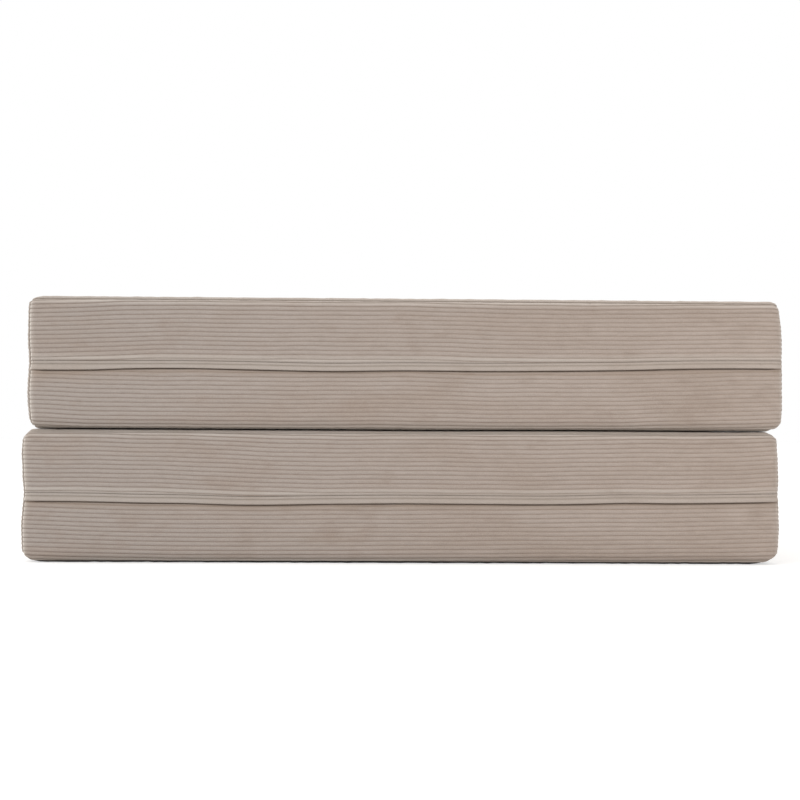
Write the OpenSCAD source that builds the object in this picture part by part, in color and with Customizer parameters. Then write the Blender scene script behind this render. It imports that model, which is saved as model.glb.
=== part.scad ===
// Fold-out sofa bed: two thick foam slabs in wide-rib corduroy covers, stacked
// for sitting and joined by a cloth hinge along the back, so that the upper one
// turns over to make a bed. Each cover opens with a zip under a cloth flap
// across the front. Millimetres; X runs along the length, the zips face -Y, and
// the origin is on the floor under the middle of the stacked slabs.

/* [Slabs] */
// Length of each slab
slab_l = 1370; // [1100:10:2000]
// Depth of each slab
slab_d = 945; // [700:5:1100]
// Thickness of each slab
slab_t = 240; // [190:5:300]
// Rounding of each slab's edges
edge_r = 20; // [14:1:26]
// How far each slab sits from the middle, one to each side
slab_shift = 4; // [0:1:12]
// Space between the stacked slabs
stack_gap = 0.5; // [0.3:0.1:2]
// Rise of the seat between its edges
seat_crown = 6; // [0:1:16]

/* [Cover] */
// Thickness of the corduroy with its pile
cloth_t = 3; // [2:0.25:3.5]
// How far the front, back and ends swell between their seams
bulge = 1.5; // [0.5:0.25:3]
// How far the ends draw in beside the zip
pinch = 3; // [0:0.5:5]
// Thickness of the inner liner
liner_t = 1; // [0.5:0.25:1.5]
// Thickness of the soft foam under the sleeping face
comfort_t = 50; // [30:5:70]

/* [Flap and zip] */
// Height of the stitch line over the slab's underside
stitch_h = 128; // [105:1:140]
// Groove between the stitch line and the flap
flap_groove = 1.3; // [1.3:0.1:2]
// Height of the flap
flap_h = 16.5; // [16:0.5:22]
// Thickness of the folded flap
flap_t = 3.3; // [2.5:0.1:4]
// Length of the flap's fixed end at each side seam, up to the rounded corner
flap_tack_l = 24; // [18:1:60]
// Drop from the stitch line to the middle of the zip
zip_drop = 8.8; // [8.8:0.1:9.5]
// Width of each zip tape
tape_w = 14; // [11:0.5:18]
// Thickness of the zip tapes
tape_t = 0.8; // [0.5:0.1:1.2]
// Height of one row of the zip's coil
coil_w = 2.2; // [1.6:0.1:2.4]
// Thickness of the zip's coil
coil_t = 2; // [1.5:0.1:2.5]
// Length of the zip slider
slider_l = 10; // [9:0.5:12]
// Height of the zip slider across the zip
slider_w = 8.4; // [7.6:0.1:8.6]
// Length of the pull tab from its hinge
pull_l = 14; // [10:0.5:14]

/* [Hinge strip] */
// Thickness of the cloth strip that joins the slabs
strip_t = 2; // [1.5:0.1:3]
// Space behind each slab, up to the fold's axis
hinge_gap = 2.5; // [1.5:0.5:6]
// How far the strip's middle stands behind the fold's axis
strip_slack = 2; // [1:0.5:5]

/* [Hidden] */
$fn = 48;

// Clearances: sewn or resting faces, running fits, and the slider under the flap
seat_gap = 0.2;
run_gap = 0.2;
flap_room = 0.5;
tuck_room = 0.8;
// Overrun of cuts
over = 1;

// Share of an edge's rounding where its two halves have their middle ring
arc_share = 1 - tan(22.5);

// The cover's box in a slab's own frame: seams lie on it, and the faces swell past it
half_l = slab_l / 2 - bulge;
half_d = slab_d / 2 - bulge;
cover_box = [[-half_l, -half_d, 0], [half_l, half_d, slab_t]];
flat_x = half_l - edge_r;
flat_y = half_d - edge_r;
seam_in = edge_r * (1 - sqrt(0.5));

// Heights of the flap and the zip
flap_top = stitch_h - flap_groove;
flap_edge = flap_top - flap_h;
flap_axis_z = flap_top - flap_t / 2;
zip_z = stitch_h - zip_drop;
slot_top = zip_z + slider_w / 2 + flap_room;
slot_bottom = zip_z - slider_w / 2 - flap_room;

// Depths behind the front, from the flap inwards
tuck = flap_t + tuck_room;
flap_axis_in = bulge + flap_t / 2;
bridge_front = bulge + flap_t + flap_room;
bridge_t = 0.6;
pull_pin_d = 0.9;
pull_t = 0.8;
pull_axis_in = bridge_front + bridge_t + run_gap / 2 + pull_pin_d / 2;
plate_t = 0.9;
plate_front = pull_axis_in + pull_pin_d / 2 + run_gap / 2;
coil_front = plate_front + plate_t + run_gap;
tape_front = coil_front + coil_t;
back_plate_front = tape_front + tape_t + run_gap;
zip_room = back_plate_front + plate_t + flap_room;

// Ends of the flap, the zip and the slider's travel
flap_half = flat_x - flap_tack_l;
zip_half = flat_x - flap_tack_l / 2;
slider_x = flap_half - flap_room - pull_l;
coil_half = slider_x + slider_l / 2 + run_gap;
stop_l = 3;
coil_gap = 0.6;

// Shape of the zip slider: its flanges, its post and the bridge that holds the pull
flange_share = 0.42;
post_w = 0.8;
bridge_l = 5.2;
bridge_w = 2.4;
bridge_leg = 0.6;

// Shape of the pull tab
eye_l = 3.2;
eye_w = 3;
eye_wall = 0.8;
tab_w = 6;

// Hem along the lower slot, in which the cloth is tucked behind the flap
tuck_lead = 12;
tuck_end = 1;
hem_end = 15;
hem_h = 10;

// Pinch of the ends: its spread up and down, and how far it reaches
pinch_h = 18;
pinch_x = flap_half + run_gap;
pinch_y = 120;

// The liner and the foams, nested in the cover, with a groove pressed in by the zip
liner_box = inset_box(cover_box, cloth_t + seat_gap);
liner_r = edge_r - cloth_t;
foam_box = inset_box(liner_box, liner_t + seat_gap);
foam_r = liner_r - liner_t;
groove_low = flap_edge - tuck_lead - seat_gap;
groove_high = stitch_h + hem_h + seat_gap;
upper_z = slab_t + stack_gap;

// The hinge strip's line: from seam to seam, round behind the fold's axis
strip_r = seam_in + stack_gap / 2;
strip_reach = hinge_gap + strip_slack + strip_t / 2;
strip_back = slab_d / 2 + hinge_gap + strip_slack;
strip_start = half_d - seam_in + strip_t / 2 + 2 * seat_gap;
strip_half = flat_x - slab_shift;
slab_y = -strip_reach / 2;

// Grid levels of the cover
middle_h = (flap_edge - tuck_lead + edge_r) / 2;
upper_h = (stitch_h + slab_t - edge_r) / 2;
x_mids = [-flat_x / 2, 0, flat_x / 2];
y_mids = [-flat_y / 2, 0, flat_y / 2];
x_levels = levels(-half_l, half_l, edge_r, x_mids);
y_levels = levels(-half_d, half_d, edge_r, y_mids);
z_levels = levels(0, slab_t, edge_r, [middle_h, flap_edge - tuck_lead, flap_edge, stitch_h, upper_h]);
x_zip_levels = levels(-half_l, half_l, edge_r, concat(
    [-flap_half + tuck_end, -flap_half + hem_end], x_mids, [flap_half - hem_end, flap_half - tuck_end]
));

CORDUROY = [0.69, 0.64, 0.58];
BASE_CLOTH = [0.16, 0.15, 0.15];
LINER = [0.92, 0.92, 0.90];
SUPPORT_FOAM = [0.93, 0.89, 0.76];
COMFORT_FOAM = [0.96, 0.95, 0.91];
ZIP_TAPE = [0.60, 0.55, 0.49];
ZIP_COIL = [0.52, 0.47, 0.42];
ZIP_METAL = [0.62, 0.61, 0.60];

function clamp(v, low, high) = min(max(v, low), high);
function flatten(rows) = [for (row = rows) each row];
function reversed(list) = [for (k = [len(list) - 1:-1:0]) list[k]];

// 0 at both ends of 0 to 1, and 1 in the middle
function swell(t) = 4 * t * (1 - t);
// 1 in the middle and 0 at -1 and 1
function dome(t) = max(0, 1 - t * t);

function inset_box(box, by) = [box[0] + [by, by, by], box[1] - [by, by, by]];

// Grid levels from low to high: both roundings in two halves, with mids between
function levels(low, high, r, mids) = concat(
    [low, low + arc_share * r, low + r], mids, [high - r, high - arc_share * r, high]
);

// A point of the box's surface, moved to the rounded skin that lies inset behind it
function rounded(p, box, r, inset) =
    let (
        core = [for (k = [0:2]) clamp(p[k], box[0][k] + r, box[1][k] - r)],
        out = (p - core) / norm(p - core)
    )
    core + (r - inset) * out;

// The soft shape of a slab: the crown of its top, and the pinch beside the zip
function settled(v, crown) =
    let (
        rise = crown * dome(v.x / half_l) * dome(v.y / half_d) * v.z / slab_t,
        level = exp(-pow((v.z - (stitch_h + flap_edge) / 2) / pinch_h, 2)),
        near_end = clamp((abs(v.x) - pinch_x) / (half_l - pinch_x), 0, 1),
        near_front = clamp(1 - (v.y + half_d) / pinch_y, 0, 1)
    )
    v + [-sign(v.x) * pinch * level * near_end * near_front, 0, rise];

function skin(p, push, inset, crown) = settled(rounded(p, cover_box, edge_r, inset) + push, crown);

// 1 on the flat part of a face and 0 at its seams
function fade(v, half) = clamp((half - abs(v)) / edge_r, 0, 1);

// Swelling of the front above and below the flap, and of the other upright faces
function front_swell(z) = bulge * (
    z >= stitch_h ? swell((z - stitch_h) / (slab_t - stitch_h)) :
    z > flap_edge ? 0 : swell(z / flap_edge)
);
function front_push(x, z) = [0, -front_swell(z) * fade(x, half_l), 0];
function side_push(z) = bulge * swell(z / slab_t);

// Top of the lower front panel, which drops below the flap's fixed ends
function slot_edge(x) = abs(x) < flap_half - hem_end / 2 ? slot_bottom : flap_edge - seat_gap;
function tucked(x) = abs(x) < flap_half ? tuck - bulge : 0;

// Faces of a grid of nu by nv cells whose points start at first
function grid_faces(nu, nv, first, inward) = [
    for (i = [0:nu - 1], j = [0:nv - 1])
        let (
            a = first + i * (nv + 1) + j, b = a + nv + 1,
            lower = inward ? [a, b + 1, a + 1] : [a, a + 1, b + 1],
            upper = inward ? [a, b, b + 1] : [a, b + 1, b]
        )
        each [lower, upper]
];

// Faces between the rims of an outer and an inner grid
function rim_pair(a, b, count) = [[a, b, b + count], [a, b + count, a + count]];
function rim_faces(nu, nv, count) = concat(
    [for (i = [0:nu - 1]) each rim_pair(i * (nv + 1), (i + 1) * (nv + 1), count)],
    [for (i = [0:nu - 1]) each rim_pair((i + 1) * (nv + 1) + nv, i * (nv + 1) + nv, count)],
    [for (j = [0:nv - 1]) each rim_pair(j + 1, j, count)],
    [for (j = [0:nv - 1]) each rim_pair(nu * (nv + 1) + j, nu * (nv + 1) + j + 1, count)]
);

// A closed sheet of cloth between two grids of points
module sheet(outer, inner) {
    nu = len(outer) - 1;
    nv = len(outer[0]) - 1;
    count = (nu + 1) * (nv + 1);
    polyhedron(
        points = concat(flatten(outer), flatten(inner)),
        faces = concat(
            grid_faces(nu, nv, 0, false),
            grid_faces(nu, nv, count, true),
            rim_faces(nu, nv, count)
        ),
        convexity = 4
    );
}

// A closed block with rounded edges: six grids of points over its box
module block(box, r, crown) {
    xs = levels(box[0].x, box[1].x, r, x_mids);
    ys = levels(box[0].y, box[1].y, r, y_mids);
    zs = levels(box[0].z, box[1].z, r, [flap_edge, stitch_h]);
    grids = [
        [for (x = xs) [for (y = ys) [x, y, box[1].z]]],
        [for (y = ys) [for (x = xs) [x, y, box[0].z]]],
        [for (x = xs) [for (z = zs) [x, box[0].y, z]]],
        [for (z = zs) [for (x = xs) [x, box[1].y, z]]],
        [for (y = ys) [for (z = zs) [box[1].x, y, z]]],
        [for (z = zs) [for (y = ys) [box[0].x, y, z]]]
    ];
    counts = [for (g = grids) len(g) * len(g[0])];
    firsts = [for (k = 0, first = 0; k < len(grids); first = first + counts[k], k = k + 1) first];
    polyhedron(
        points = [for (g = grids) each [for (p = flatten(g)) settled(rounded(p, box, r, 0), crown)]],
        faces = [
            for (k = [0:len(grids) - 1])
                each grid_faces(len(grids[k]) - 1, len(grids[k][0]) - 1, firsts[k], false)
        ],
        convexity = 4
    );
}

// One cloth panel: its grid of box points, and how far each is pushed off the box
module panel(grid, pushes, crown) {
    rows = [0:len(grid) - 1];
    columns = [0:len(grid[0]) - 1];
    sheet(
        [for (i = rows) [for (j = columns) skin(grid[i][j], pushes[i][j], 0, crown)]],
        [for (i = rows) [for (j = columns) skin(grid[i][j], pushes[i][j], cloth_t, crown)]]
    );
}

module still_panel(grid, crown) {
    panel(grid, [for (row = grid) [for (p = row) [0, 0, 0]]], crown);
}

module top_panel(crown) {
    still_panel([for (x = x_levels) [for (y = y_levels) [x, y, slab_t]]], crown);
}

module bottom_panel(crown) {
    still_panel([for (y = y_levels) [for (x = x_levels) [x, y, 0]]], crown);
}

module back_panel(crown) {
    panel(
        [for (z = z_levels) [for (x = x_levels) [x, half_d, z]]],
        [for (z = z_levels) [for (x = x_levels) [0, side_push(z) * fade(x, half_l), 0]]],
        crown
    );
}

// side is 1 for the right end and -1 for the left
module end_panel(side, crown) {
    by_depth = [for (y = y_levels) [for (z = z_levels) [side * half_l, y, z]]];
    depth_push = [for (y = y_levels) [for (z = z_levels) [side * side_push(z) * fade(y, half_d), 0, 0]]];
    by_height = [for (j = [0:len(z_levels) - 1]) [for (row = by_depth) row[j]]];
    height_push = [for (j = [0:len(z_levels) - 1]) [for (row = depth_push) row[j]]];
    if (side > 0) {
        panel(by_depth, depth_push, crown);
    } else {
        panel(by_height, height_push, crown);
    }
}

module front_upper_panel(crown) {
    zs = [stitch_h, upper_h, slab_t - edge_r, slab_t - arc_share * edge_r, slab_t];
    panel(
        [for (x = x_levels) [for (z = zs) [x, -half_d, z]]],
        [for (x = x_levels) [for (z = zs) front_push(x, z)]],
        crown
    );
}

// The lower front panel tucks in behind the flap along its top
module front_lower_panel(crown) {
    plain = [0, arc_share * edge_r, edge_r, middle_h, flap_edge - tuck_lead];
    function panel_levels(x) = concat(plain, [flap_edge - 2 * seat_gap, slot_edge(x)]);
    panel(
        [for (x = x_zip_levels) [for (z = panel_levels(x)) [x, -half_d, z]]],
        [for (x = x_zip_levels) concat(
            [for (z = plain) front_push(x, z)],
            [[0, tucked(x), 0], [0, tucked(x), 0]]
        )],
        crown
    );
}

// Fixed ends of the flap, sewn into both side seams
module flap_tacks(crown) {
    xs = [flap_half + run_gap, flat_x, half_l - arc_share * edge_r, half_l];
    zs = [flap_edge, stitch_h - seat_gap];
    for (line = [xs, -reversed(xs)]) {
        panel(
            [for (x = line) [for (z = zs) [x, -half_d, z]]],
            [for (x = line) [for (z = zs) [0, z == flap_edge ? -bulge * fade(x, half_l) : 0, 0]]],
            crown
        );
    }
}

// A filling with the zip's groove across its front; grow sets the groove's walls back
module filling(box, r, grow, crown) {
    difference() {
        block(box, r, crown);
        strip_bar(flat_x + grow, 0, zip_room + grow, groove_low - grow, groove_high + grow);
    }
}

module foam_liner(crown) {
    difference() {
        filling(liner_box, liner_r, 0, crown);
        filling(inset_box(liner_box, liner_t), liner_r - liner_t, liner_t, crown);
    }
}

// Foam between two heights of the slab
module foam(low, high, crown) {
    width = slab_l + over;
    intersection() {
        filling(foam_box, foam_r, liner_t + seat_gap, crown);
        translate([-width / 2, -width / 2, low]) cube([width, width, high - low]);
    }
}

module support_foam(sleeps_up, crown) {
    low = sleeps_up ? -over : foam_box[0].z + comfort_t;
    high = sleeps_up ? foam_box[1].z - comfort_t : slab_t + seat_crown + over;
    foam(low, high, crown);
}

module comfort_foam(sleeps_up, crown) {
    low = sleeps_up ? foam_box[1].z - comfort_t : -over;
    high = sleeps_up ? slab_t + seat_crown + over : foam_box[0].z + comfort_t;
    foam(low, high, crown);
}

// A straight bar along X: its half length, depths behind the front, and heights
module strip_bar(half, front, back, low, high) {
    translate([-half, front - slab_d / 2, low]) cube([2 * half, back - front, high - low]);
}

module zip_facings() {
    strip_bar(zip_half, bridge_front, tape_front, slot_top, stitch_h + hem_h);
    strip_bar(zip_half, tuck + cloth_t + seat_gap, tape_front, slot_bottom - hem_h, slot_bottom);
}

// side is 1 for the upper tape and -1 for the lower
module zip_tape(side) {
    near = zip_z + side * coil_gap;
    far = zip_z + side * tape_w;
    strip_bar(zip_half, tape_front, tape_front + tape_t, min(near, far), max(near, far));
}

module zip_coils() {
    for (side = [-1, 1]) {
        near = zip_z + side * coil_gap;
        far = near + side * coil_w;
        strip_bar(coil_half, coil_front, tape_front, min(near, far), max(near, far));
    }
}

// Stops clamped on both ends of each coil
module zip_stops() {
    for (end = [-1, 1], side = [-1, 1]) {
        near = zip_z + side * coil_gap;
        far = near + side * coil_w;
        translate([end * (coil_half + stop_l / 2), 0, 0])
            strip_bar(stop_l / 2, coil_front, tape_front, min(near, far), max(near, far));
    }
}

// A strip profile with round edges, from one point to another
module strap_profile(from, to, thick) {
    run = to - from;
    translate(from) circle(d = thick);
    translate(to) circle(d = thick);
    translate(from) rotate(atan2(run.y, run.x)) translate([0, -thick / 2]) square([norm(run), thick]);
}

// A profile drawn in depth and height, drawn out along X
module along_x(half) {
    rotate([90, 0, 90]) linear_extrude(height = 2 * half, center = true) children();
}

// The flap's moving part, round about its axis at the top
module zip_flap() {
    top = [flap_axis_in - slab_d / 2, flap_axis_z];
    bottom = [(flap_t - slab_d) / 2, flap_edge + flap_t / 2];
    along_x(flap_half) strap_profile(top, bottom, flap_t);
}

// A plate across the zip, from one depth behind the front to another
module zip_plate(front, back) {
    translate([0, back - slab_d / 2, zip_z]) rotate([90, 0, 0])
        linear_extrude(height = back - front) children();
}

module slider_outline() {
    head_r = slider_w / 2;
    translate([slider_l / 2 - head_r, 0]) circle(r = head_r);
    translate([-slider_l / 2, -slider_w * flange_share])
        square([slider_l - head_r, 2 * slider_w * flange_share]);
}

// Slider: two plates on a post between the coils, flanges, and the pull's bridge
module zip_slider() {
    lip = slider_w * flange_share;
    lip_t = lip - coil_gap - coil_w - run_gap;
    zip_plate(plate_front, plate_front + plate_t) slider_outline();
    zip_plate(back_plate_front, back_plate_front + plate_t) slider_outline();
    zip_plate(plate_front, back_plate_front + plate_t)
        translate([slider_l / 2 - slider_w / 2, 0]) square([slider_w / 2, post_w], center = true);
    for (side = [-1, 1]) {
        zip_plate(plate_front, tape_front - run_gap)
            translate([-slider_l / 2, side * (lip - lip_t / 2) - lip_t / 2])
                square([slider_l - slider_w / 2, lip_t]);
    }
    zip_plate(bridge_front, bridge_front + bridge_t) square([bridge_l, bridge_w], center = true);
    for (side = [-1, 1]) {
        zip_plate(bridge_front, plate_front + plate_t / 2)
            translate([side * (bridge_l - bridge_leg) / 2, 0]) square([bridge_leg, bridge_w], center = true);
    }
}

// Pull tab: a pin under the bridge, an eye round it, and the tab, lying flat along the zip
module zip_pull() {
    flat_front = pull_axis_in - pull_t / 2;
    translate([0, pull_axis_in - slab_d / 2, zip_z])
        cylinder(d = pull_pin_d, h = eye_w + 2 * eye_wall, center = true);
    zip_plate(flat_front, flat_front + pull_t) {
        for (side = [-1, 1]) {
            translate([-eye_l, side * (eye_w + eye_wall) / 2 - eye_wall / 2]) square([eye_l, eye_wall]);
        }
        translate([-pull_l + tab_w / 2, -tab_w / 2]) square([pull_l - tab_w / 2 - eye_l, tab_w]);
        translate([-pull_l + tab_w / 2, 0]) circle(d = tab_w);
    }
}

// Cloth strip from the lower slab's back seam to the upper slab's
module strip_shape() {
    module bent(r) {
        translate([strip_back - strip_r, 0]) circle(r = r);
        translate([strip_start, -r]) square([strip_back - strip_r - strip_start, 2 * r]);
    }
    translate([0, slab_y, slab_t + stack_gap / 2]) along_x(strip_half) difference() {
        intersection() {
            bent(strip_r + strip_t / 2);
            translate([strip_start, -slab_t]) square([slab_d, 2 * slab_t]);
        }
        bent(strip_r - strip_t / 2);
        translate([0, -strip_r + strip_t / 2]) square([strip_back - strip_r, 2 * strip_r - strip_t]);
    }
}

module in_lower() {
    translate([-slab_shift, slab_y, 0]) children();
}

module in_upper() {
    translate([slab_shift, slab_y, upper_z]) children();
}

module at_slider() {
    translate([slider_x, 0, 0]) children();
}

module lower_support_foam() { color(SUPPORT_FOAM) in_lower() support_foam(true, 0); }
module lower_comfort_foam() { color(COMFORT_FOAM) in_lower() comfort_foam(true, 0); }
module lower_foam_liner() { color(LINER) in_lower() foam_liner(0); }
module lower_top_panel() { color(CORDUROY) in_lower() top_panel(0); }
module lower_base_panel() { color(BASE_CLOTH) in_lower() bottom_panel(0); }
module lower_front_upper_panel() { color(CORDUROY) in_lower() front_upper_panel(0); }
module lower_front_lower_panel() { color(CORDUROY) in_lower() front_lower_panel(0); }
module lower_left_end_panel() { color(CORDUROY) in_lower() end_panel(-1, 0); }
module lower_right_end_panel() { color(CORDUROY) in_lower() end_panel(1, 0); }
module lower_back_panel() { color(CORDUROY) in_lower() back_panel(0); }
module lower_flap_tacks() { color(CORDUROY) in_lower() flap_tacks(0); }
module lower_zip_facings() { color(ZIP_TAPE) in_lower() zip_facings(); }
module lower_zip_tape_upper() { color(ZIP_TAPE) in_lower() zip_tape(1); }
module lower_zip_tape_lower() { color(ZIP_TAPE) in_lower() zip_tape(-1); }
module lower_zip_coils() { color(ZIP_COIL) in_lower() zip_coils(); }
module lower_zip_stops() { color(ZIP_METAL) in_lower() zip_stops(); }
module lower_zip_flap() { color(CORDUROY) in_lower() zip_flap(); }
module lower_zip_slider() { color(ZIP_METAL) in_lower() at_slider() zip_slider(); }
module lower_zip_pull() { color(ZIP_METAL) in_lower() at_slider() zip_pull(); }

module upper_support_foam() { color(SUPPORT_FOAM) in_upper() support_foam(false, seat_crown); }
module upper_comfort_foam() { color(COMFORT_FOAM) in_upper() comfort_foam(false, seat_crown); }
module upper_foam_liner() { color(LINER) in_upper() foam_liner(seat_crown); }
module upper_seat_panel() { color(CORDUROY) in_upper() top_panel(seat_crown); }
module upper_sleeping_panel() { color(CORDUROY) in_upper() bottom_panel(seat_crown); }
module upper_front_upper_panel() { color(CORDUROY) in_upper() front_upper_panel(seat_crown); }
module upper_front_lower_panel() { color(CORDUROY) in_upper() front_lower_panel(seat_crown); }
module upper_left_end_panel() { color(CORDUROY) in_upper() end_panel(-1, seat_crown); }
module upper_right_end_panel() { color(CORDUROY) in_upper() end_panel(1, seat_crown); }
module upper_back_panel() { color(CORDUROY) in_upper() back_panel(seat_crown); }
module upper_flap_tacks() { color(CORDUROY) in_upper() flap_tacks(seat_crown); }
module upper_zip_facings() { color(ZIP_TAPE) in_upper() zip_facings(); }
module upper_zip_tape_upper() { color(ZIP_TAPE) in_upper() zip_tape(1); }
module upper_zip_tape_lower() { color(ZIP_TAPE) in_upper() zip_tape(-1); }
module upper_zip_coils() { color(ZIP_COIL) in_upper() zip_coils(); }
module upper_zip_stops() { color(ZIP_METAL) in_upper() zip_stops(); }
module upper_zip_flap() { color(CORDUROY) in_upper() zip_flap(); }
module upper_zip_slider() { color(ZIP_METAL) in_upper() at_slider() zip_slider(); }
module upper_zip_pull() { color(ZIP_METAL) in_upper() at_slider() zip_pull(); }

module hinge_strip() { color(CORDUROY) strip_shape(); }

lower_support_foam();
lower_comfort_foam();
lower_foam_liner();
lower_top_panel();
lower_base_panel();
lower_front_upper_panel();
lower_front_lower_panel();
lower_left_end_panel();
lower_right_end_panel();
lower_back_panel();
lower_flap_tacks();
lower_zip_facings();
lower_zip_tape_upper();
lower_zip_tape_lower();
lower_zip_coils();
lower_zip_stops();
lower_zip_flap();
lower_zip_slider();
lower_zip_pull();
upper_support_foam();
upper_comfort_foam();
upper_foam_liner();
upper_seat_panel();
upper_sleeping_panel();
upper_front_upper_panel();
upper_front_lower_panel();
upper_left_end_panel();
upper_right_end_panel();
upper_back_panel();
upper_flap_tacks();
upper_zip_facings();
upper_zip_tape_upper();
upper_zip_tape_lower();
upper_zip_coils();
upper_zip_stops();
upper_zip_flap();
upper_zip_slider();
upper_zip_pull();
hinge_strip();
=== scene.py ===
"""Looks of the corduroy sofa bed: two foam slabs in ribbed covers, folded on each other."""
import math

import bpy
import numpy as np
from mathutils import Matrix, Vector


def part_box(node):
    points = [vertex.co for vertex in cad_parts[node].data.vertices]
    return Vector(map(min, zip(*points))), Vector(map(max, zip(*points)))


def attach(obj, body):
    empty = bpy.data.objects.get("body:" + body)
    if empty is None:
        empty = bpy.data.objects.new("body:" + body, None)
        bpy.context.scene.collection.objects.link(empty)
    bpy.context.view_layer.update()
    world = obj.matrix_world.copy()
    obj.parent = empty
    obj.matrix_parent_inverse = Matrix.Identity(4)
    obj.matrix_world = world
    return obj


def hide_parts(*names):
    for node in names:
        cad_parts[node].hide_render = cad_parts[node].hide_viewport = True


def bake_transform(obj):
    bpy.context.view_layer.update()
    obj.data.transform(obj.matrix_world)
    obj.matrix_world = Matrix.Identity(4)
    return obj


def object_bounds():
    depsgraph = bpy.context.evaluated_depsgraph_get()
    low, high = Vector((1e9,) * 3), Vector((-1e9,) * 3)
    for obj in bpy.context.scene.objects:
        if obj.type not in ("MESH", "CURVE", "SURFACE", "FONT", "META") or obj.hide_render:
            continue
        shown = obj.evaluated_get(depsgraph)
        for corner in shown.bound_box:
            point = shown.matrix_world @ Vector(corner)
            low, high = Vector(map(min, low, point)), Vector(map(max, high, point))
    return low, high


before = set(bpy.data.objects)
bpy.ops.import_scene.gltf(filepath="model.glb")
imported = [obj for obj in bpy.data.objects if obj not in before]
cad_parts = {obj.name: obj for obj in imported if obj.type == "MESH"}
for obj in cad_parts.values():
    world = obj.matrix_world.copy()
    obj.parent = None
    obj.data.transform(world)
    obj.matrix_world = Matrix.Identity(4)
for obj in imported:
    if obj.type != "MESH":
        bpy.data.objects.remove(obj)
cad_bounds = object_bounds()

# Lengths are in millimetres, and meshes are made in metres
MM = 0.001


def box_mm(node):
    """Lowest and highest corner of a CAD node, in millimetres."""
    low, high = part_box(node)
    return np.array(low) / MM, np.array(high) / MM


# A slab's thickness, the height of its zip, and the faces that lie on each other
SLAB_T = box_mm("lower_top_panel")[1][2] - box_mm("lower_base_panel")[0][2]
FLAP_BOX = box_mm("lower_zip_flap")
PINCH_LEVEL = (FLAP_BOX[0][2] + FLAP_BOX[1][2]) / 2
TOUCHING = (("lower", "top"), ("upper", "bottom"))
# The face of plain cloth with the share of the ribs' height it has, and the softer foam's
# thickness
BASE_FACE = ("lower", "bottom")
BASE_RIBS = 0.3
SOFT_FOAM = box_mm("lower_comfort_foam")[1][2] - box_mm("lower_comfort_foam")[0][2]

# The cover's skin: rounding of its edges, swelling of its faces, where along the slab the
# ends' own shape starts, how far from the front it is full and what share of it the rest
# keeps, and the furthest turn round an edge
EDGE_R = 20.0
BULGE = 1.5
END_X = 605.0
END_Y = 150.0
END_KEPT = 0.45
MOST_TURN = 1.4

# Corduroy: spacing, depth and roundness of its ribs, and the thickness under them
FRONT_PITCH = 7.95
WIDE_PITCH = 8.0
RIB_H = 1.15
RIB_POWER = 0.6
CLOTH_T = 1.3
# Rows of points: steps along the ribs of the front, the large faces and the others, steps
# across the ribs of the front, places beside a seam, phases of the large and the other
# faces' points on each rib, and the spacing of the points on a panel's back
FRONT_STEP = 5.0
WIDE_STEP = 12.0
SIDE_STEP = 6.0
UPPER_ROW = 0.8
LOWER_ROW = 0.78
SEAM_LEVELS = np.array([0.0, 0.8, 1.7, 2.8, 4.2, 6.2, 9.0, 13.0])
RIB_SAMPLES = (0.0, 0.1, 0.3, 0.5, 0.7, 0.9)
FINE_SAMPLES = (0.0, 0.06, 0.16, 0.28, 0.4, 0.5, 0.6, 0.72, 0.84, 0.94)
BACK_STEP = 24
FRONT_BACK_STEP = 9
# Sway of the rows on the front, and on the large panels broad and fine, each with the
# lengths of its waves, how far from a rim it is full, and where the first rib is cut
FRONT_SWAY = 0.7
FRONT_WAVES = (260, 170, 120)
BROAD_SWAY = 2.2
BROAD_WAVES = (900, 520, 300)
FINE_SWAY = 0.8
FINE_WAVES = (240, 170, 110)
SWAY_START = 60
FIRST_CUT = 0.37
LEAST_CUT = 0.03

# Seams: depth of the crease at the front, elsewhere and where the flap hangs, its half
# width, pitch and depth of the stitches that pucker it, how far the ribs level out beside
# it, and how far in the valleys of a bent long edge, squeezed shut, get painted shade
FRONT_CREASE = 2.0
PLAIN_CREASE = 1.1
FLAP_CREASE = 0.5
CREASE_W = 2.2
STITCH = 4.4
PUCKER = 0.12
RIB_END = 3.6
SQUEEZE_SHADE_W = 17.0
# Shade in those valleys above and below the zip, and beside the flap's seam, where it grows
UPPER_SHADE = 0.8
LOWER_SHADE = 0.9
FLAP_SHADE = 0.25
FLAP_SHADE_W = 8
# Soft gathers beside the seams: height at the front and elsewhere, start, reach, lengths
# and lean
FRONT_GATHER = 0.55
PLAIN_GATHER = 0.95
GATHER_START = 5
GATHER_W = 15.0
GATHER_WAVES = (43, 29, 19)
GATHER_LEAN = 0.6
# Painted highlights on rib tops near the edges and at the ribs' left ends: strength, distance
# in and width, and how much paler the large panels are, from brushed pile and painted sheen
EDGE_HIGHLIGHT = 0.35
EDGE_HIGHLIGHT_IN = 5
RIB_TIP = 1.7
RIB_TIP_IN = 2.8
RIB_TIP_W = 2.0
LARGE_NAP_AND_SHEEN = 0.6

# Where the slabs lie on each other: how far they fill the gap, the slack of their rims, how
# far in it reaches, also near the ends, and the rise that the weight presses flat there
CONTACT = 0.2
RIM_SLACK = 1.5
RIM_SLACK_W = 60.0
END_SLACK_W = 30.0
END_PRESS = 3.6
END_PRESS_W = 40.0
# Towards the right the line where they meet climbs, and the rim above it, where it turns under, gets painted
# shade
CLIMB = 1.2
CLIMB_W = 320.0
CLIMB_H = 60.0
RIM_SHADE_START = 50.0
RIM_SHADE_W = 450.0
RIM_SHADE_H = 3.2
# Unevenness of the stuffed faces and its lengths, also of the seat's hollows, how far from
# the seams it is full, and its depth and start on the faces that touch
WOBBLE = {"front": 1.6, "back": 2.8, "left": 2.8, "right": 2.8, "top": 5.0, "bottom": 1.6}
WOBBLE_WAVES = (310, 190, 140, 90)
SEAT_WAVES = (760, 540, 410)
WOBBLE_START = 30
INNER_WOBBLE = 3.5
INNER_START = 40.0
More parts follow.
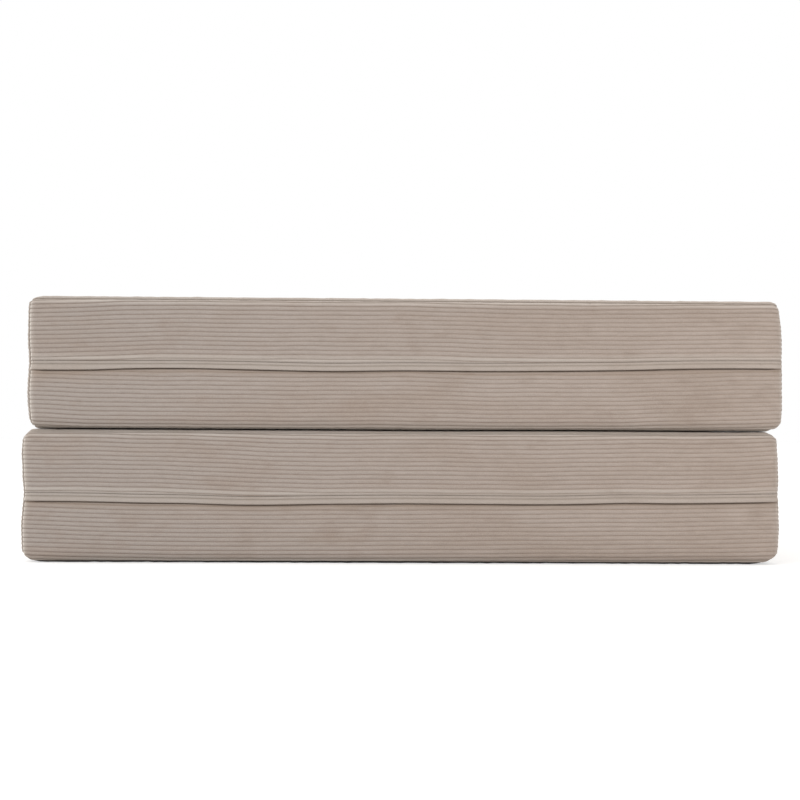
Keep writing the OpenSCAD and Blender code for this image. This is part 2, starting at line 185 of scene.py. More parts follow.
# Loose folds of every face but the front, and the areas that have them
FOLD = 2.4
FOLD_WAVES = (150, 105, 78, 56)
LOOSE_WAVES = (620, 410)
LOOSE_SHARE = 0.5
LOOSE_SPREAD = 0.9

# Flap over the zip: how far its fold reaches over and under the skin, how far under it the
# front and the back of its top lie, width of its upper rib, rounding of its fold, gap over
# its seam, and its sway with the lengths of its waves
FLAP_PROUD = 1.7
FLAP_BACK = 1.7
FLAP_TOP_IN = 0.4
FLAP_TOP_BACK = 2.9
FLAP_NARROW_RIB = 5.4
FLAP_FOLD_R = 1.5
FLAP_SEAM_GAP = 0.35
FLAP_SWAY = 0.8
FLAP_SWAY_WAVES = (230, 120, 75)
# Its section beside the seam: distance below it, height, rib value. Then where the points of
# its upper rib start, the slope and start of their phase, the slope for its lower rib, and
# the shares of the rest of the strip between which that rib's points lie
FLAP_ROOT = ((0.0, -1.0, 0.3), (0.35, -0.5, 0.5), (0.8, -0.25, 0.6))
NARROW_START = 1.5
NARROW_PHASE = (0.93, 0.07)
WIDE_PHASE = 0.62
WIDE_SPAN = (0.08, 0.8)
# Spacing of its points
FLAP_STEP = 5
# The front's lower panel leads in before the flap, dives behind it and runs up there
TUCK = 2.9
TUCK_RISE = 4.3
TUCK_TOP = 114.3
TUCK_LEAD = 9.0
TUCK_LEAD_IN = 0.8
TUCK_END = 652.0
TUCK_FADE = 22.0
DIVE_START = 2.6
DIVE_W = 2.4
FLAT_START = 1.5
# Where the painted shade starts as the cloth dives, and where the painted shadow below the flap's edge
# starts and how far it reaches
SHADE_START = 3.4
FLAP_SHADOW_START = 16
FLAP_SHADOW_W = 14

# Hinge strip: thickness, start inside the CAD's own, how far its ends reach into the seams
# and how they slant, depth of its ribs, and the waves along it
STRIP_T = 2.0
STRIP_IN = 0.4
STRIP_SEAM = 1.8
STRIP_SLANT = 0.7
STRIP_RIB = 0.7
STRIP_WAVE = 0.25
STRIP_WAVES = (160, 95, 60)

# Zip: coil teeth, the slot between its facings and the step between these, its tapes, end
# stops, sewing and slider. Levels give a place along a piece and a share of its size there
TOOTH_PITCH = 1.75
TOOTH_W = 1.05
TOOTH_D = 1.6
TOOTH_R = 0.38
TOOTH_REACH = 0.45
TOOTH_LEVELS = (
    (0.0, 0.7), (0.25, 1.0), (0.6, 0.82), (1.1, 0.8), (1.6, 0.85), (2.0, 1.15), (2.35, 1.2), (2.6, 0.75),
)
SLOT_HALF = 4.7
FACING_STEP = 2.0
FACING_R = 1.3
FACING_SWAY = 0.3
TAPE_STEP = 6
TAPE_R = 0.35
TAPE_SWAY = 0.06
TAPE_WAVES = (90, 55, 37)
STOP_R = 0.6
STOP_LEVELS = ((0.0, 0.7), (0.06, 0.92), (0.2, 1.0), (0.8, 1.0), (0.94, 0.92), (1.0, 0.7))
THREAD_R = 0.28
THREAD_STITCH = 3.4
THREAD_GAP = 0.7
THREAD_OUT = 0.12
THREAD_AWAY = 2.2
THREAD_START = 4
SLIDER_BEVEL = 0.14
SLIDER_BEVEL_ANGLE = 35

# Fillings: rounding of the foam's long edges and of its corners, how far the liner lies in
# from the cover's sides and from its large faces, so that the loose cloth clears it, its
# thickness, the gap from its sides to the foams, and the groove behind the zip
FILL_R = 42.0
FILL_CORNER_R = 24.0
LINER_IN = 7.8
LINER_DEEP = 10.2
LINER_T = 0.7
FOAM_GAP = 1.2
GROOVE_IN = 9.0
GROOVE_H = 22.0

# Grip dots under the lower slab: spacing, radius, and height with the profile of the rim
DOT_PITCH = 15.0
DOT_R = 1.9
DOT_H = 0.45
DOT_LEVELS = ((0.0, 1.0), (0.25, 0.95), (0.4, 0.7), (DOT_H, 0.25))

# Heights in the UV map for a panel's face, its back and its rim, and for the flap, and the
# millimetres that count as one for the flap's end faces
FACE_V = 0.95
BACK_V = (0.955, 0.98)
RIM_V = (0.985, 0.999)
FLAP_V = 0.96
CAP_SIZE = 40

# Studio, in metres: the world's light, half the floor's size, how far it lies below the bed
# and how it glows to the camera, and each soft lamp's place, aim, size and watts
WORLD_LIGHT = 0.92
FLOOR_SIZE = 30.0
FLOOR_DROP = 0.0004
FLOOR_GLOW = 0.5
WHITE = (1, 1, 1, 1)
LAMPS = {
    "key": ((-2.8, -4.0, 3.6), (0, -0.4, 0.25), 2.4, 59),
    "fill": ((3.2, -3.8, 1.8), (0, -0.4, 0.25), 2.4, 16),
    "overhead": ((0, 0.6, 3.6), (0, 0, 0.3), 3.0, 24),
    "side": ((-4.2, 0.4, 1.4), (-0.6, 0, 0.25), 2.0, 45),
}
# Camera: its lens, how far it sees and stands from the front, and its turns in degrees
LENS = 85.0
CAMERA_REACH = 100
CAMERA_FAR = 3.405
CAMERA_YAW = 2.2
CAMERA_TILT = 0.87
CAMERA_PAN = 0.18
CAMERA_ROLL = 0.33

# Each face: axis of its ribs, axis across them, its own axis, its side, and True where
# the first axis turned to the second looks outward
FACES = {
    "front": (0, 2, 1, -1, True),
    "back": (0, 2, 1, 1, False),
    "left": (1, 2, 0, -1, False),
    "right": (1, 2, 0, 1, True),
    "top": (0, 1, 2, 1, True),
    "bottom": (0, 1, 2, -1, False),
}
# The faces before and after a face along each axis
NEIGHBOURS = (("left", "right"), ("front", "back"), ("bottom", "top"))


# Curves and unevenness

def smooth_curve(table, x, column=1):
    """A smooth line through a column of a few given rows."""
    xs, ys = table[:, 0], table[:, column]
    x = np.clip(x, xs[0], xs[-1])
    slopes = np.gradient(ys, xs)
    k = np.clip(np.searchsorted(xs, x, side="right") - 1, 0, len(xs) - 2)
    span = xs[k + 1] - xs[k]
    t = (x - xs[k]) / span
    return (
        ys[k] * (1 + 2 * t) * (1 - t) ** 2
        + slopes[k] * span * t * (1 - t) ** 2
        + ys[k + 1] * t * t * (3 - 2 * t)
        + slopes[k + 1] * span * t * t * (t - 1)
    )


def smoothstep(t):
    """Rises softly from 0 to 1."""
    t = np.clip(t, 0, 1)
    return t * t * (3 - 2 * t)


def swell(t):
    """0 at both ends of 0 to 1, and 1 in the middle."""
    t = np.clip(t, 0, 1)
    return 4 * t * (1 - t)


def bell(t):
    """1 at 0, and soon nothing on both sides."""
    return np.exp(-(t ** 2))


def ripple(a, b, lengths, seed):
    """Smooth unevenness from -1 to 1 over two coordinates, the same on each run."""
    random = np.random.default_rng(seed)
    total = np.zeros(np.broadcast(a, b).shape)
    for length in lengths:
        turn, shift = random.uniform(0, 2 * math.pi, 2)
        total = total + np.sin((a * math.cos(turn) + b * math.sin(turn)) * 2 * math.pi / length + shift)
    return total / len(lengths)


def hollows(a, b, lengths, seed):
    """The same unevenness from -1 to 0."""
    return (ripple(a, b, lengths, seed) - 1) / 2


# The cover's shape

class Slab:
    """One slab: where its own frame stands, its sizes, its seams, and the run of its ribs and flap.

    corners gives the width and height of the rounding of its long corners, by end (-1 left,
    1 right) and height (0 bottom, 1 top), ends how far each end stands out at a few heights,
    shares how far its panels reach round their edges, above and below the drift of its ribs
    along the front on both sides of the zip, and flap a place along the front, the height of
    the folded edge there and that of the strip.
    """

    def __init__(self, name, top, bottom, corners, ends, shares, above, below, flap, seed):
        def face(node, corner, axis):
            return box_mm(f"{name}_{node}")[corner][axis]
        left, right = face("left_end_panel", 0, 0), face("right_end_panel", 1, 0)
        front, back = face("front_upper_panel", 0, 1), face("back_panel", 1, 1)
        foot, lid = face(bottom, 0, 2), face(top, 1, 2)
        self.name = name
        self.body = f"{name}_slab"
        self.top, self.bottom = top, bottom
        self.origin = np.array([(left + right) / 2, (front + back) / 2, foot])
        self.half_l = (right - left) / 2 - BULGE
        self.half_d = (back - front) / 2 - BULGE
        self.low = np.array([-self.half_l, -self.half_d, 0.0])
        self.high = np.array([self.half_l, self.half_d, SLAB_T])
        self.crown = lid - foot - SLAB_T
        self.touches_above = (name, "top") in TOUCHING
        self.corners = corners
        self.ends = {side: np.array(table) for side, table in ends.items()}
        self.shares = shares
        self.above, self.below, self.flap = np.array(above), np.array(below), np.array(flap)
        self.seed = seed

    def flap_edge(self, x):
        """Height of the flap's folded edge."""
        return smooth_curve(self.flap, x)

    def stitch_line(self, x):
        """Height of the line that the flap hangs from."""
        return self.flap_edge(x) + smooth_curve(self.flap, x, 2)

    def crown_rise(self, p):
        """How far the seat's crown lifts the points under it."""
        rise = self.crown * np.maximum(0, 1 - (p[..., 0] / self.half_l) ** 2)
        return rise * np.maximum(0, 1 - (p[..., 1] / self.half_d) ** 2) * p[..., 2] / SLAB_T


def unrolled(a, low, high):
    """Box coordinate of a coordinate measured along the cloth, which also covers the rounded edges."""
    start, end = low + EDGE_R, high - EDGE_R
    under = np.clip((start - a) / EDGE_R, 0, MOST_TURN)
    over = np.clip((a - end) / EDGE_R, 0, MOST_TURN)
    return np.clip(a, start, end) + EDGE_R * (np.tan(over) - np.tan(under))


def cloth_span(slab, face, axis):
    """First and last cloth coordinate of a face's panel along an axis, from seam to seam."""
    # How far the panel runs round both edges: 45 degrees where the faces have equal shares
    share = slab.shares.get
    before, after = (math.atan2(share(face, 1.0), share(other, 1.0)) for other in NEIGHBOURS[axis])
    return slab.low[axis] + EDGE_R - EDGE_R * before, slab.high[axis] - EDGE_R + EDGE_R * after


def face_swell(slab, face, u, v):
    """How far a face bulges out of the box: fuller above and below the zip at the front."""
    if face in ("top", "bottom"):
        return np.zeros(np.broadcast(u, v).shape)
    near_end = np.clip((slab.high[FACES[face][0]] - np.abs(u)) / (2 * EDGE_R), 0, 1)
    rise = swell(v / SLAB_T)
    if face == "front":
        edge, stitch = slab.flap_edge(u), slab.stitch_line(u)
        over = swell((v - stitch) / (SLAB_T - stitch))
        rise = np.where(v >= stitch, over, np.where(v > edge, 0, swell(v / edge)))
    return BULGE * rise * smoothstep(near_end)


def soften_corners(slab, p):
    """Draws each long corner in to the larger, oval rounding that its own foam has."""
    for side in (-1, 1):
        for height in (0, 1):
            wide, tall = slab.corners[side, height]
            a = 1 - (slab.half_l - side * p[..., 0]) / wide
            b = 1 - (SLAB_T - p[..., 2] if height else p[..., 2]) / tall
            reach = np.hypot(np.maximum(a, 0), np.maximum(b, 0))
            shrink = np.where((a > 0) & (b > 0), 1 - 1 / np.maximum(reach, 1), 0)
            p[..., 0] -= side * a * wide * shrink
            p[..., 2] -= (b if height else -b) * tall * shrink
    return p


def from_contact(slab, p):
    """Distance of points from the face that lies on the other slab."""
    return SLAB_T - p[..., 2] if slab.touches_above else p[..., 2]


def press_ends(slab, p):
    """Where the slabs lie on each other, their end corners stay flat a little further out."""
    near_end = smoothstep((np.abs(p[..., 0]) - END_X) / END_PRESS_W)
    rise = from_contact(slab, p)
    flat = rise * (1 - smoothstep(rise / END_PRESS)) * near_end
    p[..., 2] += flat if slab.touches_above else -flat
    return p


def contact_climb(slab, p):
    """How far the front of the slabs' touching faces lies higher towards the right."""
    front = 0.5 - p[..., 1] / (2 * slab.half_d)
    return CLIMB * smoothstep(p[..., 0] / CLIMB_W) * smoothstep(1 - from_contact(slab, p) / CLIMB_H) * front


def end_push(slab, p):
    """How far a point near an end moves along the slab: ends are full, and drawn in at the zip."""
    near_end = smoothstep((np.abs(p[..., 0]) - END_X) / (slab.half_l - END_X))
    near_front = np.clip(1 - (p[..., 1] + slab.half_d) / END_Y, 0, 1)
    push = np.zeros(p.shape[:-1])
    for side in (-1, 1):
        push += np.where(side * p[..., 0] > 0, side * smooth_curve(slab.ends[side], p[..., 2]), 0)
    return push * near_end * (END_KEPT + (1 - END_KEPT) * near_front)


def skin(slab, face, u, v):
    """Points of the skin, and the way out of it, at cloth coordinates of a face."""
    along, across, own, side, _ = FACES[face]
    u, v = np.broadcast_arrays(np.asarray(u, float), np.asarray(v, float))
    box = np.zeros(u.shape + (3,))
    box[..., along] = unrolled(u, slab.low[along], slab.high[along])
    box[..., across] = unrolled(v, slab.low[across], slab.high[across])
    box[..., own] = slab.high[own] if side > 0 else slab.low[own]
    core = np.clip(box, slab.low + EDGE_R, slab.high - EDGE_R)
    out = box - core
    out /= np.linalg.norm(out, axis=-1, keepdims=True)
    p = core + EDGE_R * out
    p[..., own] += side * face_swell(slab, face, u, v)
    p = press_ends(slab, soften_corners(slab, p))
    rise = slab.crown_rise(p)
    p[..., 0] += end_push(slab, p)
    p[..., 2] += rise + contact_climb(slab, p)
    return p, out


def lifted(slab, face, u, v, height):
    """Points at a height above the skin, in the shared frame."""
    p, out = skin(slab, face, u, v)
    return p + out * np.asarray(height)[..., None] + slab.origin


# The cloth's relief

def rib_profile(phase):
    """0 in the valleys between ribs, and 1 on their round tops."""
    return np.abs(np.sin(math.pi * phase)) ** RIB_POWER


def rib_relief(profile, near):
    """Height of the ribs, which level out where the cloth runs into a seam."""
    kept = smoothstep(near / RIB_END)
    return RIB_H * ((profile - 1) * kept - 0.5 * (1 - kept))


def crease(distance, along, depth):
    """How deep the cloth dips beside a seam, deepest at the stitches."""
    pucker = 1 + PUCKER * np.cos(2 * math.pi * along / STITCH)
    return depth * pucker * bell(distance / CREASE_W)


def gathers(distance, along, seed):
    """Small folds that run off from a seam."""
    folds = ripple(along, distance * GATHER_LEAN, GATHER_WAVES, seed)
    return folds * np.exp(-distance / GATHER_W) * smoothstep(distance / GATHER_START)


def seam_dips(slab, face, u, v, start_v, end_v, start_depth):
    """Distance to the nearest seam of a panel, and how deep its seams draw it in."""
    first, last = cloth_span(slab, face, FACES[face][0])
    low_depth = PLAIN_CREASE if face in ("top", "bottom", "back") else FRONT_CREASE
    high_depth = FRONT_CREASE if face == "front" else PLAIN_CREASE
    seams = (
        (u - first, v, low_depth),
        (last - u, v, high_depth),
        (end_v - v, u, high_depth),
        (v - start_v, u, start_depth),
    )
    folds = 0
    for k, (distance, along, depth) in enumerate(seams):
        if depth != FLAP_CREASE:
            folds = folds + gathers(distance, along, slab.seed + 11 + k)
    near = np.minimum.reduce([seam[0] for seam in seams])
    folds = folds * (FRONT_GATHER if face == "front" else PLAIN_GATHER) * smoothstep(near / GATHER_START)
    return near, np.maximum.reduce([crease(*seam) for seam in seams]) + folds


def squeezed_valley_shade(profile, near_rim):
    """Painted shade in the valleys that the bend of a long edge squeezes shut."""
    return (1 - profile) * bell(near_rim / SQUEEZE_SHADE_W)


def painted_rim_shade(slab, u, near_rim):
    """Painted shade on the upper slab's rim over the gap, where it turns under, growing towards the right.
    """
    if slab.touches_above:
        return np.zeros(u.shape)
    return smoothstep((u - RIM_SHADE_START) / RIM_SHADE_W) * bell(near_rim / RIM_SHADE_H)


def rib_tip_highlights(slab, face, u, profile):
    """Painted highlights on the ends of the ribs where they run into the left side seam."""
    if face != "front":
        return np.zeros(u.shape)
    first = cloth_span(slab, face, 0)[0]
    return RIB_TIP * profile * bell((u - first - RIB_TIP_IN) / RIB_TIP_W)


def pile_highlights(slab, face, u, near, profile):
    """Painted highlights on the rib tops along the edges, and at the ribs' left ends."""
    return np.maximum(EDGE_HIGHLIGHT * profile * bell((near - EDGE_HIGHLIGHT_IN) / EDGE_HIGHLIGHT_IN), rib_tip_highlights(slab, face, u, profile))


def stuffed(slab, face, u, v, near, near_rim, seed):
    """Unevenness of the stuffed face, which ends at the seams."""
    wobble = hollows(u, v, WOBBLE_WAVES, slab.seed + seed)
    if face == "front":
        return WOBBLE[face] * wobble * smoothstep(near / WOBBLE_START)
    loose = smoothstep(LOOSE_SHARE + LOOSE_SPREAD * ripple(u, v, LOOSE_WAVES, slab.seed + seed + 3))
    folds = FOLD * loose * hollows(u, v, FOLD_WAVES, slab.seed + seed + 2)
    if (slab.name, face) in TOUCHING:
        near_end = smoothstep((np.abs(u) - END_X) / END_PRESS_W)
        reach = RIM_SLACK_W + (END_SLACK_W - RIM_SLACK_W) * near_end
        rim = CONTACT - RIM_SLACK * (1 - smoothstep(near_rim / reach))
        inner = smoothstep((near - INNER_START) / (2 * INNER_START))
        return rim + (INNER_WOBBLE * wobble + folds) * inner
    if face == "top":
        wobble = (wobble + hollows(u, v, SEAT_WAVES, slab.seed + seed + 1)) / 2
    return (WOBBLE[face] * wobble + folds) * smoothstep(near / WOBBLE_START)


# Meshes

def mesh_object(name, part, material, body=None, numbers=None, uv=None):
    """A smooth mesh from millimetre points, quads and triangles. numbers has values for each point."""
    points, quads, triangles = part
    mesh = bpy.data.meshes.new(name)
    quads = np.asarray(quads, int).reshape(-1, 4)
    triangles = np.asarray(triangles, int).reshape(-1, 3)
    corners = np.concatenate([quads.ravel(), triangles.ravel()])
    starts = np.concatenate([
        np.arange(len(quads)) * 4,
        len(quads) * 4 + np.arange(len(triangles)) * 3,
    ])
    mesh.vertices.add(len(points))
    mesh.vertices.foreach_set("co", (np.asarray(points, float) * MM).astype(np.float32).ravel())
    mesh.loops.add(len(corners))
    mesh.loops.foreach_set("vertex_index", corners.astype(np.int32))
    mesh.polygons.add(len(starts))
    mesh.polygons.foreach_set("loop_start", starts.astype(np.int32))
    mesh.update(calc_edges=True)
    mesh.validate()
    mesh.polygons.foreach_set("use_smooth", np.ones(len(starts), bool))
    for key, values in (numbers or {}).items():
        attribute = mesh.attributes.new(key, "FLOAT", "POINT")
        attribute.data.foreach_set("value", np.asarray(values, np.float32).ravel())
    if uv is not None:
        layer = mesh.uv_layers.new(name="OFBake")
        layer.data.foreach_set("uv", np.asarray(uv, np.float32).ravel())
    mesh.materials.append(material)
    return linked(name, mesh, body)


def linked(name, data, body=None):
    """A new object in the scene, which rides on a body."""
    made = bpy.data.objects.new(name, data)
    bpy.context.scene.collection.objects.link(made)
    if body:
        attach(made, body)
    return made


def stands_for(piece, node):
    """The piece takes a CAD node's place, which is hidden."""
    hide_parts(node)
    return piece


def border_of(ids):
    """Ids round the edge of a grid and back to the start, in the order of its first face."""
    return np.concatenate([ids[:-1, 0], ids[-1, :-1], ids[:0:-1, -1], ids[0, :0:-1], ids[:1, 0]])


def grid_quads(ids, natural):
    """Faces of a grid of ids."""
    a, b, c, d = ids[:-1, :-1], ids[1:, :-1], ids[1:, 1:], ids[:-1, 1:]
    order = (a, b, c, d) if natural else (a, d, c, b)
    return np.stack([corner.ravel() for corner in order], 1)


def ring_grid(rows, ring):
    """Ids of closed rings of points, with each ring's first one again at its end."""
    ids = np.arange(rows * ring).reshape(rows, ring)
    return np.concatenate([ids, ids[:, :1]], 1)


def grid_uv(rows, columns, low, high):
    """UV places of a grid's points, between two heights of the map."""
    across = np.repeat(np.linspace(0, 1, rows), columns)
    return np.stack([across, np.tile(np.linspace(low, high, columns), rows)], 1)


def kept_levels(values, step, beside):
    """Indices of about every step of a rising list, with both ends and some beside them."""
    found = np.searchsorted(values, np.arange(values[0], values[-1], step))
    last = len(values) - 1
    beside = np.array(beside)
    return np.unique(np.concatenate([[0], found, [last], beside, last - beside]))


def levels_along(span, step):
    """Coordinates along the ribs: even, with a few more beside each seam."""
    first, last = span
    count = max(2, int(round((last - first - 2 * SEAM_LEVELS[-1]) / step)))
    middle = np.linspace(first + SEAM_LEVELS[-1], last - SEAM_LEVELS[-1], count + 1)[1:-1]
    return np.concatenate([first + SEAM_LEVELS, middle, last - SEAM_LEVELS[::-1]])


def cloth_shell(name, outer, lining, keep_u, keep_v, natural, material, body, numbers):
    """A closed sheet of cloth: a fine ribbed face, and a plain back that is fixed to its rim."""
    nu, nv = outer.shape[:2]
    ids = np.arange(nu * nv).reshape(nu, nv)
    back_ids = nu * nv + np.arange(len(keep_u) * len(keep_v)).reshape(len(keep_u), len(keep_v))
    behind = np.full((nu, nv), -1)
    behind[np.ix_(keep_u, keep_v)] = back_ids
    ring, ring_back = border_of(ids), border_of(behind)
    low_v, high_v = RIM_V
    step = 1.0 / (len(ring) - 1)
    triangles, rim_uv = [], []
    last = 0
    for k in np.flatnonzero(ring_back >= 0)[1:]:
        for m in range(last, k):
            triangles.append((ring[m + 1], ring[m], ring_back[last]))
            rim_uv.append(((m + 1) * step, low_v, m * step, low_v, last * step, high_v))
        triangles.append((ring[k], ring_back[last], ring_back[k]))
        rim_uv.append((k * step, low_v, last * step, high_v, k * step, high_v))
        last = k
    triangles, rim_uv = np.array(triangles), np.array(rim_uv).reshape(-1, 3, 2)
    if not natural:
        triangles, rim_uv = triangles[:, ::-1], rim_uv[:, ::-1]
    quads = np.concatenate([grid_quads(ids, natural), grid_quads(back_ids, not natural)])
    place = np.concatenate([grid_uv(nu, nv, 0, FACE_V), grid_uv(len(keep_u), len(keep_v), *BACK_V)])
    uv = np.concatenate([place[quads.ravel()], rim_uv.reshape(-1, 2)])
    points = np.concatenate([outer.reshape(-1, 3), lining.reshape(-1, 3)])
    full = {
        key: np.concatenate([value.ravel(), value[np.ix_(keep_u, keep_v)].ravel()])
        for key, value in numbers.items()
    }
    return mesh_object(name, (points, quads, triangles), material, body, full, uv)


# Panels of the cover

def sewn_panel(slab, node, face, grids, kept, numbers):
    """A panel's cloth, from grids of its cloth coordinates and of its face's and back's heights."""
    u, v, height, back_height = grids
    grid = np.ix_(*kept)
    outer = lifted(slab, face, u, v, height)
    lining = lifted(slab, face, u[grid], v[grid], back_height[grid])
    material, slot = (BASE, "base_cloth") if (slab.name, face) == BASE_FACE else (CORD, "corduroy")
    made = cloth_shell(
        f"{slab.name}_{node}_cloth", outer, lining, *kept, FACES[face][4], material, slab.body, numbers
    )
    stands_for(made, f"{slab.name}_{node}")


def ribbed_panel(slab, node, face, u, v, phase, ends, flap_hangs=False):
    """A panel with real ribs: u and v are grids of cloth coordinates, phase counts the ribs."""
    rib_share = BASE_RIBS if (slab.name, face) == BASE_FACE else 1.0
    profile = rib_profile(phase)
    start_depth = FRONT_CREASE if face in ("front", "top", "bottom") else PLAIN_CREASE
    near, dip = seam_dips(slab, face, u, v, *ends, FLAP_CREASE if flap_hangs else start_depth)
    near_rim = np.minimum(v - ends[0], ends[1] - v)
    if (slab.name, face) in TOUCHING:
        dip = np.maximum(dip, 0)
    slack = stuffed(slab, face, u, v, near, near_rim, len(node))
    height = rib_share * rib_relief(profile, near) + slack - dip
    kept = (
        kept_levels(u[:, 0], BACK_STEP, (2, 4)),
        kept_levels(v[0], FRONT_BACK_STEP if face == "front" else BACK_STEP, (1, 2)),
    )
    # The seam number is painted shade: in the creases beside the seams, weaker under the hanging flap, and
    # in the squeezed valleys of the front
    seam = bell(near / CREASE_W)
    if flap_hangs:
        seam = seam * (FLAP_SHADE + (1 - FLAP_SHADE) * smoothstep((v - ends[0]) / FLAP_SHADE_W))
        near_rim = ends[1] - v
    if face == "front":
        seam = np.maximum(seam, UPPER_SHADE * squeezed_valley_shade(profile, near_rim))
    numbers = {
        "rib": profile,
        "seam": seam,
        # The large panels are paler: brushed pile, with painted sheen
        "nap_and_painted_light": np.full(u.shape, LARGE_NAP_AND_SHEEN if face in ("top", "bottom") else 0.0),
        "painted_highlight": pile_highlights(slab, face, u, near, profile),
    }
    sewn_panel(slab, node, face, (u, v, height, slack - dip - RIB_H - CLOTH_T), kept, numbers)


def wide_panel(slab, node, face, step, samples):
    """Top, bottom, end and back panels: their rows follow the ribs."""
    along, across = FACES[face][:2]
    first, last = cloth_span(slab, face, across)
    count = (last - first) / WIDE_PITCH
    marks = np.concatenate([np.arange(-1, math.ceil(count) + 1)[:, None] + np.array(samples)]).ravel()
    marks = marks[(marks > FIRST_CUT + LEAST_CUT) & (marks < FIRST_CUT + count - LEAST_CUT)]
    marks = np.concatenate([[FIRST_CUT], marks, [FIRST_CUT + count]])
    us = levels_along(cloth_span(slab, face, along), step)
    u, v = np.meshgrid(us, first + (marks - FIRST_CUT) * WIDE_PITCH, indexing="ij")
    inner = smoothstep(np.minimum(v - first, last - v) / SWAY_START)
    v = v + BROAD_SWAY * inner * ripple(u, v * 0.3, BROAD_WAVES, slab.seed + 7)
    v = v + FINE_SWAY * inner * ripple(u, v, FINE_WAVES, slab.seed + 8)
    ribbed_panel(slab, node, face, u, v, np.broadcast_to(marks, u.shape), (first, last))


def front_rows(us, start, end, rows, drift_rows, seed):
    """Grids of cloth coordinates and rib phases of the front, between two lines along it."""
    v = start[:, None] + np.linspace(0, 1, rows) * (end - start)[:, None]
    u = np.broadcast_to(us[:, None], v.shape)
    drift = smooth_curve(drift_rows, us)[:, None] + FRONT_SWAY * ripple(u, 2 * v, FRONT_WAVES, seed)
    return u, v, (v - drift - SLAB_T / 2) / FRONT_PITCH


def front_upper_panel(slab):
    """Front above the zip: from the line that the flap hangs from to the top seam."""
    us = levels_along(cloth_span(slab, "front", 0), FRONT_STEP)
    last = cloth_span(slab, "front", 2)[1]
    rows = 1 + int((last - slab.stitch_line(np.zeros(1))[0]) / UPPER_ROW)
    start = slab.stitch_line(us) + FLAP_SEAM_GAP
    u, v, phase = front_rows(us, start, us * 0 + last, rows, slab.above, slab.seed + 1)
    ends = (start[:, None], last)
    ribbed_panel(slab, "front_upper_panel", "front", u, v, phase, ends, flap_hangs=True)


def front_lower_panel(slab):
    """Front below the zip: its top dives in behind the flap and runs on up behind it."""
    us = levels_along(cloth_span(slab, "front", 0), FRONT_STEP)
    first = cloth_span(slab, "front", 2)[0]
    edge = slab.flap_edge(us)
    end = np.minimum(edge + TUCK_RISE, np.maximum(TUCK_TOP, edge + 0.5))
    rows = 1 + int(slab.flap_edge(np.zeros(1))[0] / LOWER_ROW)
    u, v, phase = front_rows(us, us * 0 + first, end, rows, slab.below, slab.seed + 2)
    profile = rib_profile(phase)
    near, dip = seam_dips(slab, "front", u, v, first, SLAB_T, FRONT_CREASE)
    slack = stuffed(slab, "front", u, v, near, near, 3)
    under = v - edge[:, None]
    lead = TUCK_LEAD_IN * smoothstep((under + TUCK_LEAD) / (TUCK_LEAD - 2))
    tuck = lead + (TUCK + RIB_H - TUCK_LEAD_IN) * smoothstep((under + DIVE_START) / DIVE_W)
    tuck = tuck * (1 - smoothstep((np.abs(u) - TUCK_END) / TUCK_FADE))
    flat = smoothstep((under + FLAT_START) / FLAT_START)
    height = (rib_relief(profile, near) + slack) * (1 - flat) - dip - tuck
    back_height = np.minimum(height, slack - dip - tuck - RIB_H) - CLOTH_T
    # Its back has more rows of points where the cloth dives
    keep_v = np.concatenate([np.arange(0, rows, 6), [1, 2], np.arange(rows - 14, rows, 2), [rows - 1]])
    numbers = {
        "rib": profile * (1 - 0.6 * flat),
        # The seam number is painted shade: in the seam creases, where the cloth dives behind the flap, in
        # the squeezed valleys and on the upper slab's rim
        "seam": np.maximum.reduce([
            bell(near / CREASE_W),
            smoothstep((under + SHADE_START) / DIVE_W),
            LOWER_SHADE * squeezed_valley_shade(profile, v - first),
            painted_rim_shade(slab, u, v - first),
        ]),
        # The nap number paints a shadow below the flap's edge
        "nap_and_painted_light": -smoothstep((under + FLAP_SHADOW_START) / FLAP_SHADOW_W),
        # Painted highlights on the rib tops
        "painted_highlight": pile_highlights(slab, "front", u, near, profile) * (1 - flat),
    }
    kept = (kept_levels(us, BACK_STEP, (2, 4)), np.unique(keep_v))
    sewn_panel(slab, "front_lower_panel", "front", (u, v, height, back_height), kept, numbers)


# The flap over the zip

def flap_section(height):
    """Round the folded strip: distance below the stitch line, height over the skin, rib value."""
    narrow = np.linspace(NARROW_START, FLAP_NARROW_RIB, 9)
    narrow_rib = rib_profile(narrow / FLAP_NARROW_RIB * NARROW_PHASE[0] + NARROW_PHASE[1])
    wide = np.linspace(*WIDE_SPAN, 11)
    wide_rib = rib_profile(wide * WIDE_PHASE)
    wide = FLAP_NARROW_RIB + wide * (height - FLAP_NARROW_RIB)
    section = []
    for t, rise, rib in (*FLAP_ROOT, *zip(narrow, narrow_rib, narrow_rib), *zip(wide, wide_rib, wide_rib)):
        lean = -FLAP_TOP_IN + (FLAP_PROUD + FLAP_TOP_IN) * smoothstep(t / height)
        section.append((t, lean + (rise if t < 1 else RIB_H * (rise - 1)), rib))
    middle = (FLAP_PROUD - FLAP_BACK) / 2
    half = (FLAP_PROUD + FLAP_BACK) / 2
    for turn in np.linspace(0.15, 1, 6):
        angle = turn * math.pi
        section.append((
            height - FLAP_FOLD_R + FLAP_FOLD_R * math.sin(angle),
            middle + half * math.cos(angle),
            max(0.0, 0.9 - turn),
        ))
    for t in (0.75, 0.5, 0.25, 0.06):
        section.append((t * height, -FLAP_BACK - (FLAP_TOP_BACK - FLAP_BACK) * (1 - t), 0.5))
    return np.array(section)


def paired_caps(ids):
    """End faces of a folded strip, which pair up its outer and its inner line."""
    caps = []
    for row, forward in ((ids[0], True), (ids[-1], False)):
        for k in range(len(row) // 2 - 1):
            a, b, c, d = row[k], row[k + 1], row[-2 - k], row[-1 - k]
            caps += [(a, b, c), (a, c, d)] if forward else [(c, b, a), (d, c, a)]
    return np.array(caps)


